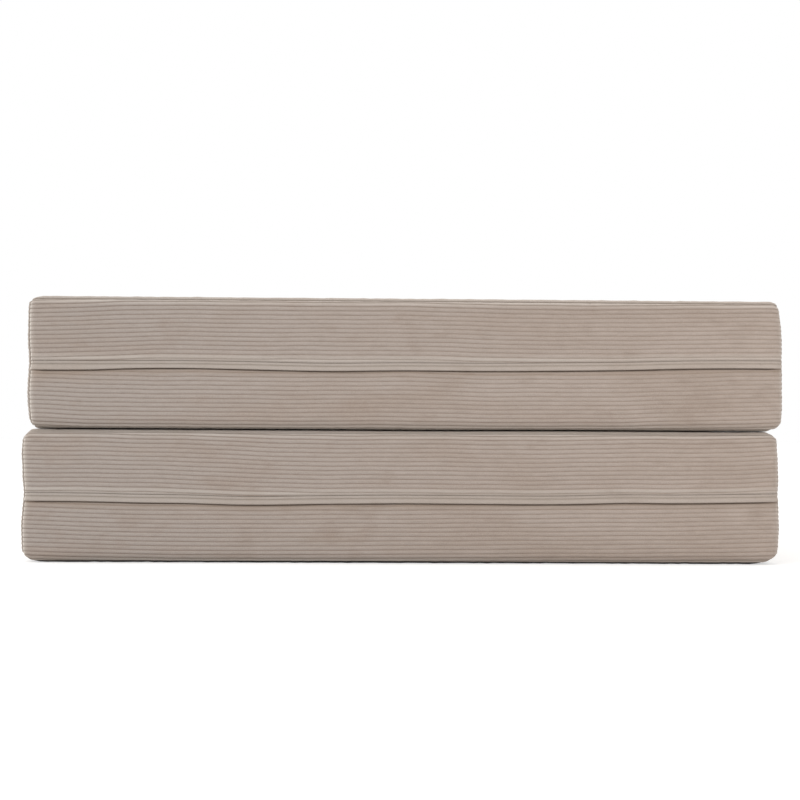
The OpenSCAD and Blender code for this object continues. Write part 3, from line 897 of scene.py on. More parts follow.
def flap_strip(slab, name, u_levels):
    """A length of the flap: the ribbed strip folded on itself, closed at both ends."""
    edge = slab.flap_edge(u_levels)
    tall = (slab.stitch_line(u_levels) - edge)[:, None]
    sections = np.array([flap_section(each[0]) for each in tall])
    below, height, rib = np.moveaxis(sections, 2, 0)
    u = np.broadcast_to(u_levels[:, None], below.shape)
    v = edge[:, None] + tall - below
    sway = FLAP_SWAY * ripple(u, v * 0, FLAP_SWAY_WAVES, slab.seed + 5)
    height = height + sway * smoothstep(below / tall)
    # Its fixed ends thin out into the side seams
    first, last = cloth_span(slab, "front", 0)
    end_far = np.minimum(u - first, last - u)
    sink = crease(end_far, v, FRONT_CREASE) + 0.5 * RIB_H * bell(end_far / CREASE_W)
    points = lifted(slab, "front", u, v, height - sink)
    rows, ring = points.shape[:2]
    points = points.reshape(-1, 3)
    around = ring_grid(rows, ring)
    caps = paired_caps(around[:, :-1])
    wide_ids = np.arange(rows * (ring + 1)).reshape(rows, ring + 1)
    place = grid_uv(rows, ring + 1, 0, FLAP_V)
    spread = (points[caps] - points[caps[:, :1] // ring * ring]) / CAP_SIZE
    cap_uv = np.stack([0.5 + spread[..., 1] + spread[..., 0] * 0.01, RIM_V[0] + spread[..., 2] * 0.02], 2)
    uv = np.concatenate([place[grid_quads(wide_ids, False).ravel()], cap_uv.reshape(-1, 2)])
    numbers = {
        "rib": rib,
        # Painted shade in the crease under the stitch line
        "seam": 0.4 * bell(below / 0.6),
        # The whole flap is painted paler, a painted highlight
        "nap_and_painted_light": np.ones(u.shape),
        # Painted highlights at the ribs' left ends
        "painted_highlight": rib_tip_highlights(slab, "front", u, rib),
    }
    made = mesh_object(name, (points, grid_quads(around, False), caps), CORD, None, numbers, uv)
    return made


def build_flap(slab):
    """The flap's free length, and its two ends, which ride on the slab."""
    low, high = box_mm(f"{slab.name}_zip_flap")
    half = (high[0] - low[0]) / 2
    free = np.linspace(-half, half, int(2 * half / FLAP_STEP))
    free = np.sort(np.concatenate([free, [-half + 0.3, half - 0.3]]))
    made = flap_strip(slab, f"{slab.name}_zip_flap_cloth", free)
    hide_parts(f"{slab.name}_zip_flap")
    tacks = []
    first, last = cloth_span(slab, "front", 0)
    for side, end in ((-1, -first), (1, last)):
        levels = np.concatenate([[half + 0.1, half + 0.4], np.linspace(half + 4, end, 16)])
        levels = levels if side > 0 else -levels[::-1]
        tacks.append(flap_strip(slab, f"{slab.name}_tack_{side + 1}", levels))
    tack = joined(f"{slab.name}_flap_tacks_cloth", tacks)
    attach(tack, slab.body)
    stands_for(tack, f"{slab.name}_flap_tacks")
    left, right = slab.stitch_line(np.array([-half, half]))
    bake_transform(made)


def joined(name, pieces):
    """Several mesh objects made into one."""
    bpy.ops.object.select_all(action="DESELECT")
    for piece in pieces:
        piece.select_set(True)
    bpy.context.view_layer.objects.active = pieces[0]
    bpy.ops.object.join()
    pieces[0].name = name
    pieces[0].data.name = name
    return pieces[0]


# Materials

class Nodes:
    """Short calls for the nodes of a new material or world."""

    def __init__(self, owner):
        owner.use_nodes = True
        self.owner = owner
        self.tree = owner.node_tree

    def plug(self, socket, value):
        """Links another node's output to a socket, or sets the socket's own value."""
        if isinstance(value, bpy.types.NodeSocket):
            self.tree.links.new(value, socket)
        else:
            socket.default_value = value

    def add(self, kind, inputs=None, **settings):
        node = self.tree.nodes.new(kind)
        for key, value in settings.items():
            setattr(node, key, value)
        for key, value in (inputs or {}).items():
            self.plug(node.inputs[key], value)
        return node

    def number(self, name):
        return self.add("ShaderNodeAttribute", attribute_name=name).outputs["Fac"]

    def place(self, scale=(1, 1, 1)):
        spot = self.add("ShaderNodeTexCoord").outputs["Object"]
        return self.add("ShaderNodeMapping", {"Vector": spot, "Scale": scale}).outputs["Vector"]

    def axes(self, vector):
        return self.add("ShaderNodeSeparateXYZ", {"Vector": vector}).outputs

    def noise(self, vector, scale, detail=3.0, rough=0.55):
        inputs = {"Vector": vector, "Scale": scale, "Detail": detail, "Roughness": rough}
        return self.add("ShaderNodeTexNoise", inputs).outputs["Fac"]

    def math(self, kind, a, b=0.0):
        return self.add("ShaderNodeMath", {0: a, 1: b}, operation=kind).outputs[0]

    def spread(self, value, low, high, to_low=0.0, to_high=1.0):
        inputs = {"Value": value, "From Min": low, "From Max": high, "To Min": to_low, "To Max": to_high}
        return self.add("ShaderNodeMapRange", inputs, clamp=True).outputs["Result"]

    def mix(self, share, a, b):
        return self.add("ShaderNodeMix", {0: share, 6: a, 7: b}, data_type="RGBA").outputs[2]

    def bump(self, height, distance, strength):
        inputs = {"Height": height, "Distance": distance, "Strength": strength}
        return self.add("ShaderNodeBump", inputs).outputs["Normal"]

    def seen(self):
        """1 for rays that come from the camera, also by way of gloss or glass."""
        path = self.add("ShaderNodeLightPath").outputs
        gloss = self.math("MAXIMUM", path["Is Camera Ray"], path["Is Glossy Ray"])
        return self.math("MAXIMUM", gloss, path["Is Transmission Ray"])

    def finish(self, **values):
        """Sets the shader's inputs, which are named with _ for a space."""
        shader = self.tree.nodes["Principled BSDF"]
        for key, value in values.items():
            self.plug(shader.inputs[key.replace("_", " ")], value)
        return self.owner


def srgb(red, green, blue):
    """A linear colour from the 0 to 255 values of a screen."""
    def linear(value):
        value /= 255
        return value / 12.92 if value <= 0.04045 else ((value + 0.055) / 1.055) ** 2.4
    return (linear(red), linear(green), linear(blue), 1.0)


def material_nodes(name):
    """The nodes of a new material."""
    return Nodes(bpy.data.materials.new(name))


def corduroy_material():
    """Beige corduroy: pale rib tops, darker valleys, brushed patches and a soft pile, with painted shade and
    painted highlights.
    """
    made = material_nodes("corduroy")
    rib, seam, nap_and_painted_light, painted_highlight = (made.number(name) for name in ("rib", "seam", "nap_and_painted_light", "painted_highlight"))
    spot = made.place()
    brushed = made.spread(made.noise(made.place((0.45, 0.6, 1.6)), 9.0, 4.0, 0.6), 0.45, 0.70)
    marks = made.spread(made.noise(made.place((0.5, 0.7, 1.0)), 26.0, 3.0, 0.6), 0.56, 0.76)
    mottle = made.noise(made.place((0.22, 1.0, 1.0)), 160.0, 3.0, 0.7)
    pile = made.noise(spot, 900.0, 2.0, 0.7)
    hairs = made.noise(made.place((1.0, 1.0, 0.3)), 1300.0, 3.0, 0.7)
    tufts = made.noise(spot, 2400.0, 3.0, 0.75)
    # The cloth is a little warmer towards the right
    warm = made.spread(made.axes(spot)["X"], -0.75, 0.75)
    top = made.mix(warm, srgb(176, 166, 160), srgb(195, 178, 167))
    top = made.mix(made.math("MULTIPLY", brushed, 0.6), top, srgb(173, 154, 141))
    top = made.mix(made.math("MULTIPLY", marks, 0.45), top, srgb(160, 140, 126))
    # The valleys are painted darker than the rib tops: painted shade between the ribs
    valley = made.mix(warm, srgb(129, 116, 107), srgb(168, 148, 133))
    tone = made.mix(made.spread(rib, 0.15, 0.8), valley, top)
    # Layers over that tone: random mottle, pale pile specks and dark hairs; the nap number, paler for
    # brushed pile with painted sheen
    # on the large panels and a painted highlight on the flap, darker for a painted shadow below the flap;
    # painted highlights; painted shade from the seam number
    layers = (
        (made.spread(mottle, 0.3, 0.7, 0.0, 0.24), (142, 127, 115)),
        (made.spread(pile, 0.35, 0.7, 0.0, 0.20), (216, 207, 197)),
        (made.spread(hairs, 0.3, 0.65, 0.24, 0.0), (122, 107, 96)),
        (made.spread(nap_and_painted_light, 0.0, 1.0, 0.0, 0.22), (190, 184, 174)),
        (made.spread(nap_and_painted_light, -1.0, 0.0, 0.4, 0.0), (158, 138, 121)),
        (made.math("MULTIPLY", painted_highlight, 0.85), (228, 222, 213)),
        (made.math("MULTIPLY", seam, 0.6), (104, 88, 76)),
    )
    for share, colour in layers:
        tone = made.mix(share, tone, srgb(*colour))
    rough = made.math("ADD", made.math("MULTIPLY", pile, 0.35), made.math("MULTIPLY", mottle, 0.5))
    rough = made.math("ADD", rough, made.math("MULTIPLY", tufts, 0.3))
    rough = made.math("ADD", rough, made.math("MULTIPLY", hairs, 0.6))
    return made.finish(
        Base_Color=tone, Normal=made.bump(rough, 0.0014, 0.6), Roughness=0.92, Sheen_Weight=0.45,
        Sheen_Roughness=0.45, Sheen_Tint=srgb(236, 226, 214), Specular_IOR_Level=0.25,
    )


def weave_material(name, dark, light, pitch, depth):
    """Plain woven cloth with crossing threads."""
    made = material_nodes(name)
    spot = made.place()
    split = made.axes(spot)
    turn = 2 * math.pi / (pitch * MM)
    along = made.math("SINE", made.math("MULTIPLY", split["X"], turn))
    height = made.math("ADD", split["Y"], split["Z"])
    across = made.math("SINE", made.math("MULTIPLY", height, turn))
    threads = made.spread(made.math("MULTIPLY", along, across), -1.0, 1.0)
    fuzz = made.noise(spot, 420.0, 2.0)
    tone = made.mix(threads, srgb(*dark), srgb(*light))
    tone = made.mix(made.spread(fuzz, 0.3, 0.8, 0.0, 0.3), tone, srgb(*light))
    normal = made.bump(made.math("ADD", threads, made.math("MULTIPLY", fuzz, 0.4)), depth, 0.6)
    return made.finish(
        Base_Color=tone, Normal=normal, Roughness=0.9,
        Sheen_Weight=0.2, Sheen_Roughness=0.5, Specular_IOR_Level=0.3,
    )


def foam_material(name, pale, deep, cell):
    """Open foam: small round cells and slight yellowing."""
    made = material_nodes(name)
    spot = made.place()
    cells = made.add("ShaderNodeTexVoronoi", {"Vector": spot, "Scale": 1 / (cell * MM)}).outputs["Distance"]
    age = made.noise(spot, 7.0, 3.0)
    tone = made.mix(made.spread(cells, 0.1, 0.6), srgb(*deep), srgb(*pale))
    tone = made.mix(made.spread(age, 0.35, 0.75, 0.0, 0.3), tone, srgb(*deep))
    return made.finish(
        Base_Color=tone, Normal=made.bump(cells, 0.0006, 0.7), Roughness=0.95, Specular_IOR_Level=0.2
    )


def hard_material(name, dark, light, grain, gloss, depth, strength, haze=None, **values):
    """Moulded or cast: a fine grain in tone and surface, and a haze in the gloss.

    grain and haze give a noise's scale, detail and roughness, and gloss the least and most
    roughness of the surface.
    """
    made = material_nodes(name)
    spot = made.place()
    fine = made.noise(spot, *grain)
    tone = made.mix(fine, srgb(*dark), srgb(*light))
    rough = made.spread(made.noise(spot, *haze) if haze else fine, 0.3, 0.7, *gloss)
    normal = made.bump(fine, depth, strength)
    return made.finish(Base_Color=tone, Normal=normal, Roughness=rough, **values)


# Fillings

def block_outline(half_l, half_d, turns):
    """A rectangle with round corners: for each point a place further in, and the way out."""
    in_x, in_y = half_l - FILL_CORNER_R, half_d - FILL_CORNER_R
    line_x = np.linspace(-1, 1, 41) * in_x
    line_y = np.linspace(-1, 1, 29) * in_y
    ring = []
    for quarter, (sx, sy, line) in enumerate((
        (1, 1, -line_x), (-1, 1, -line_y), (-1, -1, line_x), (1, -1, line_y),
    )):
        centre = (sx * in_x, sy * in_y)
        for t in turns:
            angle = quarter * math.pi / 2 + t
            way = (math.cos(angle), math.sin(angle))
            ring.append((*centre, *way))
        for k in line[1:-1]:
            ring.append((k, centre[1], *way) if quarter % 2 == 0 else (centre[0], k, *way))
    return np.array(ring)


def block_mesh(slab, inset, low, high):
    """Points and faces of a foam block between two heights, grooved behind the zip."""
    half_l, half_d = slab.half_l - inset, slab.half_d - inset
    turns = np.linspace(0, math.pi / 2, 9)
    low_r = max(FILL_R - low, 1.0)
    high_r = max(FILL_R - (SLAB_T - high), 1.0)
    levels = [(low + low_r * (1 - math.cos(t)), low_r * (1 - math.sin(t))) for t in turns]
    levels += [(z, 0.0) for z in np.linspace(low + low_r, high - high_r, 24)[1:-1]]
    levels += [(high - high_r * (1 - math.sin(t)), high_r * (1 - math.cos(t))) for t in turns]
    z, draw = np.array(levels).T[..., None]
    ring = block_outline(half_l, half_d, turns)
    reach = FILL_CORNER_R - np.minimum(draw, FILL_CORNER_R - 1)
    more = draw - (FILL_CORNER_R - reach)
    points = np.zeros((len(z), len(ring), 3))
    for axis in (0, 1):
        points[..., axis] = ring[:, axis] + ring[:, axis + 2] * reach - np.sign(ring[:, axis]) * more
    points[..., 2] = z
    groove = bell(((z - PINCH_LEVEL) / GROOVE_H) ** 2)
    front = GROOVE_IN * groove - slab.half_d + inset
    at_front = points[..., 1] < -half_d + FILL_CORNER_R
    points[..., 1] = np.where(at_front, np.maximum(points[..., 1], front), points[..., 1])
    rows = np.concatenate([
        [points[0] * [share, share, 1] for share in (0.4, 0.75)],
        points,
        [points[-1] * [share, share, 1] for share in (0.75, 0.4)],
    ])
    count, size = rows.shape[:2]
    points = np.concatenate([[[0, 0, low]], rows.reshape(-1, 3), [[0, 0, high]]])
    points[..., 2] += slab.crown_rise(points)
    around = 1 + ring_grid(count, size)
    fans = []
    for k in range(size):
        fans.append((0, around[0, k + 1], around[0, k]))
        fans.append((len(points) - 1, around[-1, k], around[-1, k + 1]))
    return points + slab.origin, grid_quads(around, False), np.array(fans)


def inside_out(part):
    """A part with its faces turned round."""
    points, quads, triangles = part
    return points, quads[:, ::-1], triangles[:, ::-1]


def build_filling(slab):
    """The liner, a thin closed bag, and its foams, with the softer one towards the other slab."""
    inside = LINER_DEEP + LINER_T
    bag = block_mesh(slab, LINER_IN, LINER_DEEP, SLAB_T - LINER_DEEP)
    lining = block_mesh(slab, LINER_IN + LINER_T, inside, SLAB_T - inside)
    made = mesh_object(f"{slab.name}_foam_liner_bag", merged([bag, inside_out(lining)]), LINER, slab.body)
    stands_for(made, f"{slab.name}_foam_liner")
    low, high = LINER_DEEP + FOAM_GAP, SLAB_T - LINER_DEEP - FOAM_GAP
    middle = high - SOFT_FOAM if slab.touches_above else low + SOFT_FOAM
    spans = ((middle, high), (low, middle)) if slab.touches_above else ((low, middle), (middle, high))
    foams = (("comfort_foam", COMFORT, 0.9), ("support_foam", SUPPORT, 1.0))
    for span, (kind, material, fill) in zip(spans, foams):
        block = block_mesh(slab, LINER_IN + FOAM_GAP, *span)
        made = mesh_object(f"{slab.name}_{kind}_block", block, material, slab.body)
        stands_for(made, f"{slab.name}_{kind}")


# Small parts

def rounded_section(y0, y1, z0, z1, r, turns=4):
    """A rounded rectangle in the Y and Z directions, anticlockwise as seen from +X."""
    ring = []
    corners = ((y1 - r, z1 - r), (y0 + r, z1 - r), (y0 + r, z0 + r), (y1 - r, z0 + r))
    for quarter, (y, z) in enumerate(corners):
        for t in np.linspace(0, math.pi / 2, turns):
            angle = quarter * math.pi / 2 + t
            ring.append((y + r * math.cos(angle), z + r * math.sin(angle)))
    return np.array(ring)


def circle(radius, count):
    """Points of a circle."""
    turns = np.linspace(0, 2 * math.pi, count + 1)[:-1]
    return np.stack([np.cos(turns), np.sin(turns)], 1) * radius


def swept_mesh(xs, rings):
    """Points and faces of a closed bar: one ring of (y, z) for each x."""
    rings = np.asarray(rings)
    rows, size = rings.shape[:2]
    points = np.concatenate([np.broadcast_to(np.asarray(xs)[:, None, None], (rows, size, 1)), rings], 2)
    around = ring_grid(rows, size)
    first, last = rows * size, rows * size + 1
    fans = [(first, around[0, k], around[0, k + 1]) for k in range(size)]
    fans += [(last, around[-1, k + 1], around[-1, k]) for k in range(size)]
    points = np.concatenate([points.reshape(-1, 3), [points[0].mean(0), points[-1].mean(0)]])
    return points, grid_quads(around, False), np.array(fans)


def scaled_sweep(levels, ring):
    """A bar whose section keeps its form: each level is a place along it and a share of its size."""
    return swept_mesh([x for x, _ in levels], [ring * share for _, share in levels])


def bar(xs, shares, section):
    """A bar with rounded edges, whose section changes about its middle by a share for each x."""
    ring = rounded_section(*section)
    middle = ring.mean(0)
    return swept_mesh(xs, [middle + (ring - middle) * share for share in shares])


def merged(parts):
    """Several parts, each of points, quads and triangles, as one."""
    steps = np.cumsum([0] + [len(points) for points, _, _ in parts])
    return (
        np.concatenate([part[0] for part in parts]),
        np.concatenate([part[1] + step for part, step in zip(parts, steps)]),
        np.concatenate([part[2] + step for part, step in zip(parts, steps)]),
    )


def copies(part, places):
    """A small part at each of many places, as one."""
    points, quads, triangles = part
    steps = (np.arange(len(places)) * len(points))[:, None, None]
    return (
        (places[:, None] + points).reshape(-1, 3),
        (quads + steps).reshape(-1, 4),
        (triangles + steps).reshape(-1, 3),
    )


def stood_up(part):
    """A part whose X axis is turned to point up."""
    return part[0][:, (1, 2, 0)], part[1], part[2]


def upside_down(part):
    """A part mirrored top to bottom."""
    points, quads, triangles = inside_out(part)
    return points * [1, 1, -1], quads, triangles


def row_of_places(xs, y, z):
    """Places along X at one depth and height."""
    return np.stack([xs, xs * 0 + y, xs * 0 + z], 1)


# The zip behind the flap

class Zip:
    """Where a slab's zip lies: its facings, its coils, its middle line and the slot round it."""

    def __init__(self, slab):
        self.facing_low, self.facing_high = box_mm(f"{slab.name}_zip_facings")
        self.coil_low, self.coil_high = box_mm(f"{slab.name}_zip_coils")
        self.middle = (self.coil_low[2] + self.coil_high[2]) / 2
        self.slot_low, self.slot_high = self.middle - SLOT_HALF, self.middle + SLOT_HALF
        self.step_back = self.facing_low[1] + FACING_STEP


def zip_strips(slab, node, ranges, r, sway):
    """Straight cloth strips of the zip: each range is its lowest and highest corner."""
    parts = []
    for k, (low, high) in enumerate(ranges):
        xs = np.linspace(low[0], high[0], int((high[0] - low[0]) / TAPE_STEP))
        size = np.array([high[1] - low[1], high[2] - low[2]])
        shares = [1 + sway * hollows(x, 0.0, TAPE_WAVES, slab.seed + k) / size for x in xs]
        parts.append(bar(xs, shares, (low[1], high[1], low[2], high[2], r)))
    made = mesh_object(f"{slab.name}_{node}_cloth", merged(parts), TAPE, slab.body)
    stands_for(made, f"{slab.name}_{node}")


def build_tapes(slab, place):
    """The two facings at the slot, one set back behind the other, and the zip's two tapes."""
    low, high = place.facing_low, place.facing_high
    zip_strips(slab, "zip_facings", (
        ([low[0], low[1], place.slot_high], high),
        ([low[0], place.step_back, low[2]], [high[0], high[1], place.slot_low]),
    ), FACING_R, FACING_SWAY)
    for node in ("zip_tape_upper", "zip_tape_lower"):
        zip_strips(slab, node, (box_mm(f"{slab.name}_{node}"),), TAPE_R, TAPE_SWAY)


def tooth_mesh():
    """One coil tooth along +Z from its root at 0, with its head near the middle of the zip."""
    rings = []
    for _, share in TOOTH_LEVELS:
        half = 0.5 * TOOTH_W * share
        rings.append(rounded_section(-half, half, -TOOTH_D / 2, TOOTH_D / 2, TOOTH_R * share, 3))
    return stood_up(swept_mesh([z for z, _ in TOOTH_LEVELS], rings))


def build_teeth(slab, place):
    """Teeth of the two sides, which lie in turn, each head past the middle line."""
    low, high = place.coil_low, place.coil_high
    reach = (high[2] - low[2]) / 2
    depth = (low[1] + high[1]) / 2
    tooth = tooth_mesh()
    xs = np.arange(low[0] + TOOTH_W, high[0] - TOOTH_W, TOOTH_PITCH)
    above = row_of_places(xs, depth, place.middle + reach)
    below = row_of_places(xs + TOOTH_PITCH / 2, depth, place.middle - reach)[:-1]
    teeth = merged([copies(upside_down(tooth), above), copies(tooth, below)])
    made = mesh_object(f"{slab.name}_zip_coil_teeth", teeth, COIL, slab.body)
    stands_for(made, f"{slab.name}_zip_coils")


def build_stops(slab, place):
    """Small clamps on both coils at both ends."""
    low, high = place.coil_low, place.coil_high
    stop_low, stop_high = box_mm(f"{slab.name}_zip_stops")
    places, shares = np.array(STOP_LEVELS).T
    stops = []
    for x0, x1 in ((stop_low[0], low[0]), (high[0], stop_high[0])):
        for z0, z1 in ((low[2], place.middle - TOOTH_REACH), (place.middle + TOOTH_REACH, high[2])):
            stops.append(bar(x0 + (x1 - x0) * places, shares, (low[1], high[1], z0, z1, STOP_R)))
    made = mesh_object(f"{slab.name}_zip_stop_clamps", merged(stops), METAL, slab.body)
    stands_for(made, f"{slab.name}_zip_stops")


def build_sewing(slab, place):
    """Sewing along both facings, one short stitch after another."""
    low, high = place.facing_low, place.facing_high
    pitch = THREAD_STITCH + THREAD_GAP
    half = THREAD_STITCH / 2
    levels = ((-half, 0.35), (-half * 0.8, 0.9), (0.0, 1.0), (half * 0.8, 0.9), (half, 0.35))
    xs = low[0] + THREAD_START + np.arange(int((high[0] - low[0]) / pitch) - 2) * pitch
    rows = np.concatenate([
        row_of_places(xs, low[1] + THREAD_OUT, place.slot_high + THREAD_AWAY),
        row_of_places(xs, place.step_back + THREAD_OUT, place.slot_low - THREAD_AWAY),
    ])
    stitches = copies(scaled_sweep(levels, circle(THREAD_R, 6)), rows)
    made = mesh_object(f"{slab.name}_zip_sewing", stitches, THREAD, slab.body)


def build_slider(slab):
    """Slider and pull tab: copies of the CAD pieces with their edges rounded off."""
    for part in ("slider", "pull"):
        node = f"{slab.name}_zip_{part}"
        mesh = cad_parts[node].data.copy()
        mesh.name = f"{node}_metal"
        mesh.materials.clear()
        mesh.materials.append(METAL)
        made = linked(f"{node}_metal", mesh, f"{slab.name}_{part}")
        bevel = made.modifiers.new("edges", "BEVEL")
        bevel.width = SLIDER_BEVEL * MM
        bevel.segments = 2
        bevel.limit_method = "ANGLE"
        bevel.angle_limit = math.radians(SLIDER_BEVEL_ANGLE)
        bevel.harden_normals = True
        for face in mesh.polygons:
            face.use_smooth = True
        stands_for(made, node)


# Hinge strip and grip dots

def build_strip():
    """The cloth that hinges the slabs: a ribbed strip bent round behind the fold's axis."""
    low, high = box_mm("hinge_strip")
    radius = (high[2] - low[2] - STRIP_T) / 2
    z_mid = (low[2] + high[2]) / 2
    y_mid = high[1] - STRIP_T / 2 - radius
    y_start = low[1] - STRIP_IN
    dip = STRIP_SEAM * STRIP_SLANT
    # Each point of the path: its place in Y and Z, and the way out
    path = [(y_start - dip, z_mid - radius - dip, STRIP_SLANT, -STRIP_SLANT)]
    path += [(y, z_mid - radius, 0, -1) for y in np.linspace(y_start, y_mid, 9)]
    for t in np.linspace(0, math.pi, 41)[1:-1]:
        path.append((y_mid + radius * math.sin(t), z_mid - radius * math.cos(t), math.sin(t), -math.cos(t)))
    path += [(y, z_mid + radius, 0, 1) for y in np.linspace(y_mid, y_start, 9)]
    path += [(y_start - dip, z_mid + radius + dip, STRIP_SLANT, STRIP_SLANT)]
    path = np.array(path)
    line, way = path[:, :2], path[:, 2:]
    steps = np.concatenate([[0], np.cumsum(np.linalg.norm(np.diff(line, axis=0), axis=1))])
    width = steps[-1]
    rib = rib_profile(steps / (width / round(width / WIDE_PITCH)))
    skin_out = STRIP_T / 2 + STRIP_RIB * (rib - 1)
    loose = np.sin(np.linspace(0, math.pi, len(path)))
    inside = line - way * (STRIP_T / 2 - 0.3)
    ends = np.array([0, 0.6])
    xs = np.concatenate([low[0] + ends, np.linspace(low[0] + 3, high[0] - 3, 200), high[0] - ends[::-1]])
    rings = []
    for x in xs:
        wave = STRIP_WAVE * ripple(x, 0.0, STRIP_WAVES, 5)
        outside = line + way * (skin_out + wave * loose)[:, None]
        rings.append(np.concatenate([outside, inside[::-1]])[::-1])
    points, quads, _ = swept_mesh(xs, rings)
    caps = paired_caps(np.arange(len(points) - 2).reshape(len(xs), -1))
    ribs = np.tile(np.concatenate([rib, rib * 0 + 0.5])[::-1], len(xs))
    numbers = {"rib": ribs, "seam": ribs * 0, "nap_and_painted_light": ribs * 0, "painted_highlight": ribs * 0}
    made = mesh_object("hinge_strip_cloth", (points[:-2], quads, caps), CORD, None, numbers)
    stands_for(made, "hinge_strip")
    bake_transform(made)


def build_dots(slab):
    """Small grip dots all over the underside."""
    dot = upside_down(stood_up(scaled_sweep(DOT_LEVELS, circle(1, 8) * DOT_R)))
    inset = EDGE_R + DOT_PITCH
    xs = np.arange(-slab.half_l + inset, slab.half_l - inset, DOT_PITCH)
    ys = np.arange(-slab.half_d + inset, slab.half_d - inset, DOT_PITCH)
    grid = np.stack(np.meshgrid(xs, ys, indexing="ij"), -1)
    grid[1::2, :, 1] += DOT_PITCH / 2
    grid = grid.reshape(-1, 2)
    places = np.concatenate([grid, np.full((len(grid), 1), DOT_H)], 1) + slab.origin
    made = mesh_object(f"{slab.name}_grip_dots", copies(dot, places), GRIP, slab.body)


# The two slabs

LOWER = Slab(
    "lower", "top_panel", "base_panel",
    corners={(-1, 0): (40, 27), (1, 0): (54, 32), (-1, 1): (22, 30), (1, 1): (24, 24)},
    ends={
        -1: [(0, 0), (25, 2.2), (70, 3.6), (118, -0.4), (165, 2.2), (212, 3.4), (240, 0.5)],
        1: [(0, 0), (25, 2.0), (70, 3.6), (118, 1.2), (165, 1.8), (205, 0.2), (240, -0.5)],
    },
    shares={"left": 0.6, "right": 0.32, "bottom": 0.46, "top": 0.85},
    above=[
        (-664, 8.7), (-566, 8.9), (-493, 7.6), (-402, 6.2), (-293, 2.4), (-147, -0.7), (0, 0),
        (289, -0.9), (399, 1.5), (508, 1.8), (581, 2.9), (668, 6.5),
    ],
    below=[(-664, 3.8), (-566, 0.5), (-402, -1.9), (-147, -1.0), (0, 0), (289, 2.4), (508, 4.3), (668, 7.5)],
    flap=[
        (-680, 110.4, 14.6), (-560, 109.7, 14.6), (-486, 108.2, 14.6), (-396, 107.4, 14.6),
        (-288, 105.0, 14.6), (-144, 107.0, 14.6), (0, 108.6, 14.6), (145, 108.1, 14.6),
        (289, 108.3, 14.6), (397, 110.9, 14.6), (505, 111.0, 14.6), (577, 112.0, 14.6), (680, 114.0, 14.6),
    ],
    seed=21,
)
UPPER = Slab(
    "upper", "seat_panel", "sleeping_panel",
    corners={(-1, 0): (14, 22), (1, 0): (34, 30), (-1, 1): (36, 21), (1, 1): (16, 45)},
    ends={
        -1: [(0, -1.0), (15, -1.2), (35, 0.5), (62, 2.2), (118, -0.4), (161, 2.2), (212, 2.0), (240, 0.5)],
        1: [(0, 0), (62, 0.4), (118, -0.6), (161, -0.4), (190, -1.4), (212, -4.0), (226, -5.0), (240, -2.8)],
    },
    shares={"left": 0.7, "right": 0.32, "bottom": 0.5, "top": 1.0},
    above=[
        (-664, -8.6), (-566, -5.2), (-493, -2.5), (-402, -0.8), (-293, -1.4), (-147, -1.2), (0, -0.5),
        (144, -3.1), (289, -4.2), (399, -3.3), (508, -1.0), (668, 0.7),
    ],
    below=[
        (-664, 2.4), (-566, -0.5), (-402, -1.6), (-147, -1.7), (0, -0.5), (144, -3.2), (289, -2.7),
        (399, -1.5), (508, 1.5), (668, 6.6),
    ],
    flap=[
        (-680, 105.0, 16.0), (-621, 105.0, 16.4), (-567, 105.8, 15.6), (-495, 108.5, 13.6),
        (-404, 109.4, 13.2), (-296, 107.9, 13.8), (-152, 105.8, 13.8), (-8, 107.8, 13.6),
        (136, 107.6, 14.0), (281, 109.2, 14.2), (389, 111.0, 14.0), (497, 114.2, 13.8),
        (569, 115.3, 13.8), (680, 115.6, 14.0),
    ],
    seed=64,
)

CORD = corduroy_material()
BASE = weave_material("base_cloth", (38, 36, 36), (62, 59, 58), 1.6, 0.0003)
GRIP = hard_material(
    "grip_rubber", (30, 30, 31), (58, 57, 56), (260.0, 4.0, 0.65), (0.55, 0.8), 0.0002, 0.4,
    Specular_IOR_Level=0.4,
)
TAPE = weave_material("zip_tape", (138, 124, 109), (166, 152, 136), 1.1, 0.0002)
THREAD = weave_material("thread", (150, 137, 121), (178, 166, 150), 0.6, 0.0001)
COIL = hard_material(
    "zip_coil", (140, 126, 111), (166, 152, 137), (900.0, 2.0), (0.38, 0.55), 0.0001, 0.3,
    Specular_IOR_Level=0.5,
)
METAL = hard_material(
    "zip_metal", (142, 138, 132), (190, 187, 181), (2600.0, 3.0, 0.7), (0.28, 0.5), 0.0001, 0.3,
    haze=(500.0, 2.0), Metallic=0.95,
)
LINER = weave_material("liner", (226, 224, 218), (240, 239, 234), 0.9, 0.0001)
SUPPORT = foam_material("support_foam", (238, 228, 196), (214, 198, 158), 2.2)
COMFORT = foam_material("comfort_foam", (246, 243, 232), (226, 219, 200), 1.7)

for each_slab in (LOWER, UPPER):
    for panel, side in ((each_slab.top, "top"), (each_slab.bottom, "bottom")):
        wide_panel(each_slab, panel, side, WIDE_STEP, RIB_SAMPLES)
    for panel, side in (("left_end_panel", "left"), ("right_end_panel", "right"), ("back_panel", "back")):
        wide_panel(each_slab, panel, side, SIDE_STEP, FINE_SAMPLES)
    front_upper_panel(each_slab)
    front_lower_panel(each_slab)
    build_flap(each_slab)
    its_zip = Zip(each_slab)
    for build in (build_tapes, build_teeth, build_stops, build_sewing):
        build(each_slab, its_zip)
    build_slider(each_slab)
for each_slab in (LOWER, UPPER):
    build_filling(each_slab)
build_strip()
build_dots(LOWER)


# Studio

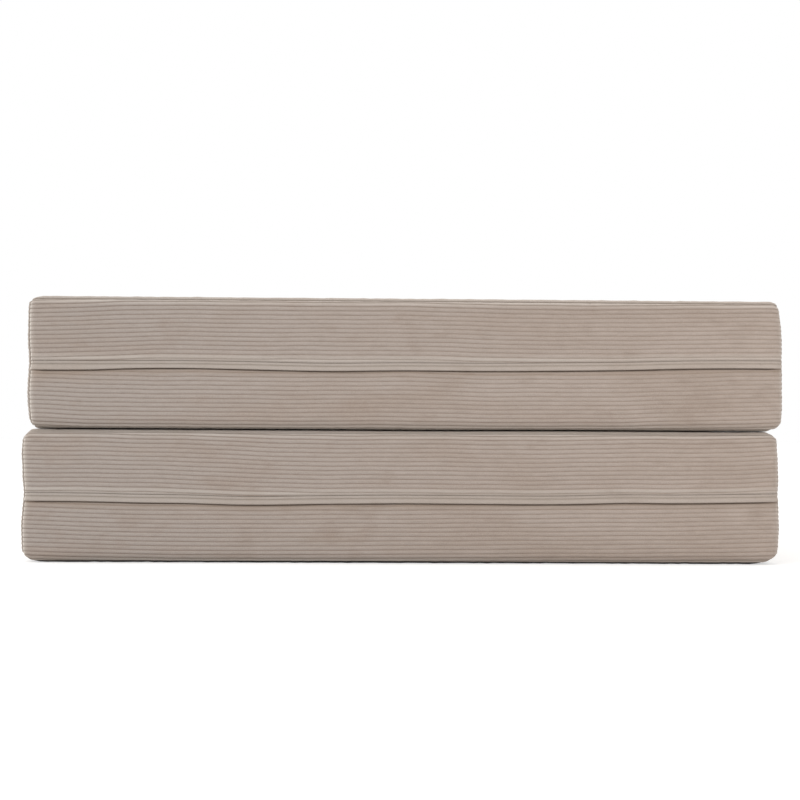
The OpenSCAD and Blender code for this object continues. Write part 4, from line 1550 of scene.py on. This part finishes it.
def studio():
    """White surroundings and soft light from all sides."""
    scene = bpy.context.scene
    scene.view_settings.view_transform = "Standard"
    scene.world = bpy.data.worlds.new("studio")
    nodes = Nodes(scene.world)
    background = nodes.tree.nodes["Background"].inputs
    nodes.plug(background["Color"], WHITE)
    nodes.plug(background["Strength"], nodes.spread(nodes.seen(), 0.0, 1.0, WORLD_LIGHT, 1.0))


def floor():
    """A pale floor that shows white where nothing shades it."""
    nodes = material_nodes("floor")
    glow = nodes.spread(nodes.seen(), 0.0, 1.0, 0.0, FLOOR_GLOW)
    tone = nodes.mix(nodes.noise(nodes.place(), 3.0), srgb(206, 205, 203), srgb(211, 210, 208))
    nodes.finish(
        Base_Color=tone, Roughness=0.9, Emission_Strength=glow, Emission_Color=WHITE, Specular_IOR_Level=0.1
    )
    mesh = bpy.data.meshes.new("floor")
    corners = [(x * FLOOR_SIZE, y * FLOOR_SIZE, 0) for x, y in ((-1, -1), (1, -1), (1, 1), (-1, 1))]
    mesh.from_pydata(corners, [], [(0, 1, 2, 3)])
    mesh.materials.append(nodes.owner)
    made = linked("floor", mesh)
    made.location.z = -FLOOR_DROP


def lamp(name, place, aim, size, power):
    """A soft square lamp."""
    light = bpy.data.lights.new(name, "AREA")
    light.shape = "SQUARE"
    light.size = size
    light.energy = power
    made = linked(name, light)
    made.location = place
    made.rotation_euler = (Vector(aim) - Vector(place)).to_track_quat("-Z", "Y").to_euler()


def camera():
    """The photograph's view: level with the middle, a little from the left, slightly tilted."""
    data = bpy.data.cameras.new("camera")
    data.lens = LENS
    data.clip_end = CAMERA_REACH
    made = linked("camera", data)
    bpy.context.scene.camera = made
    middle = (cad_bounds[0] + cad_bounds[1]) / 2
    yaw, tilt, pan, roll = map(math.radians, (CAMERA_YAW, CAMERA_TILT, CAMERA_PAN, CAMERA_ROLL))
    away = Vector((-math.sin(yaw), -math.cos(yaw), 0))
    place = Vector((middle.x, cad_bounds[0].y, middle.z)) + CAMERA_FAR * away
    look = Matrix.Rotation(-yaw, 4, "Z") @ Matrix.Rotation(math.pi / 2 + tilt, 4, "X")
    made.matrix_world = (
        Matrix.Translation(place) @ Matrix.Rotation(pan, 4, "Z") @ look @ Matrix.Rotation(roll, 4, "Z")
    )


studio()
floor()
for lamp_name, settings in LAMPS.items():
    lamp(lamp_name, *settings)
camera()
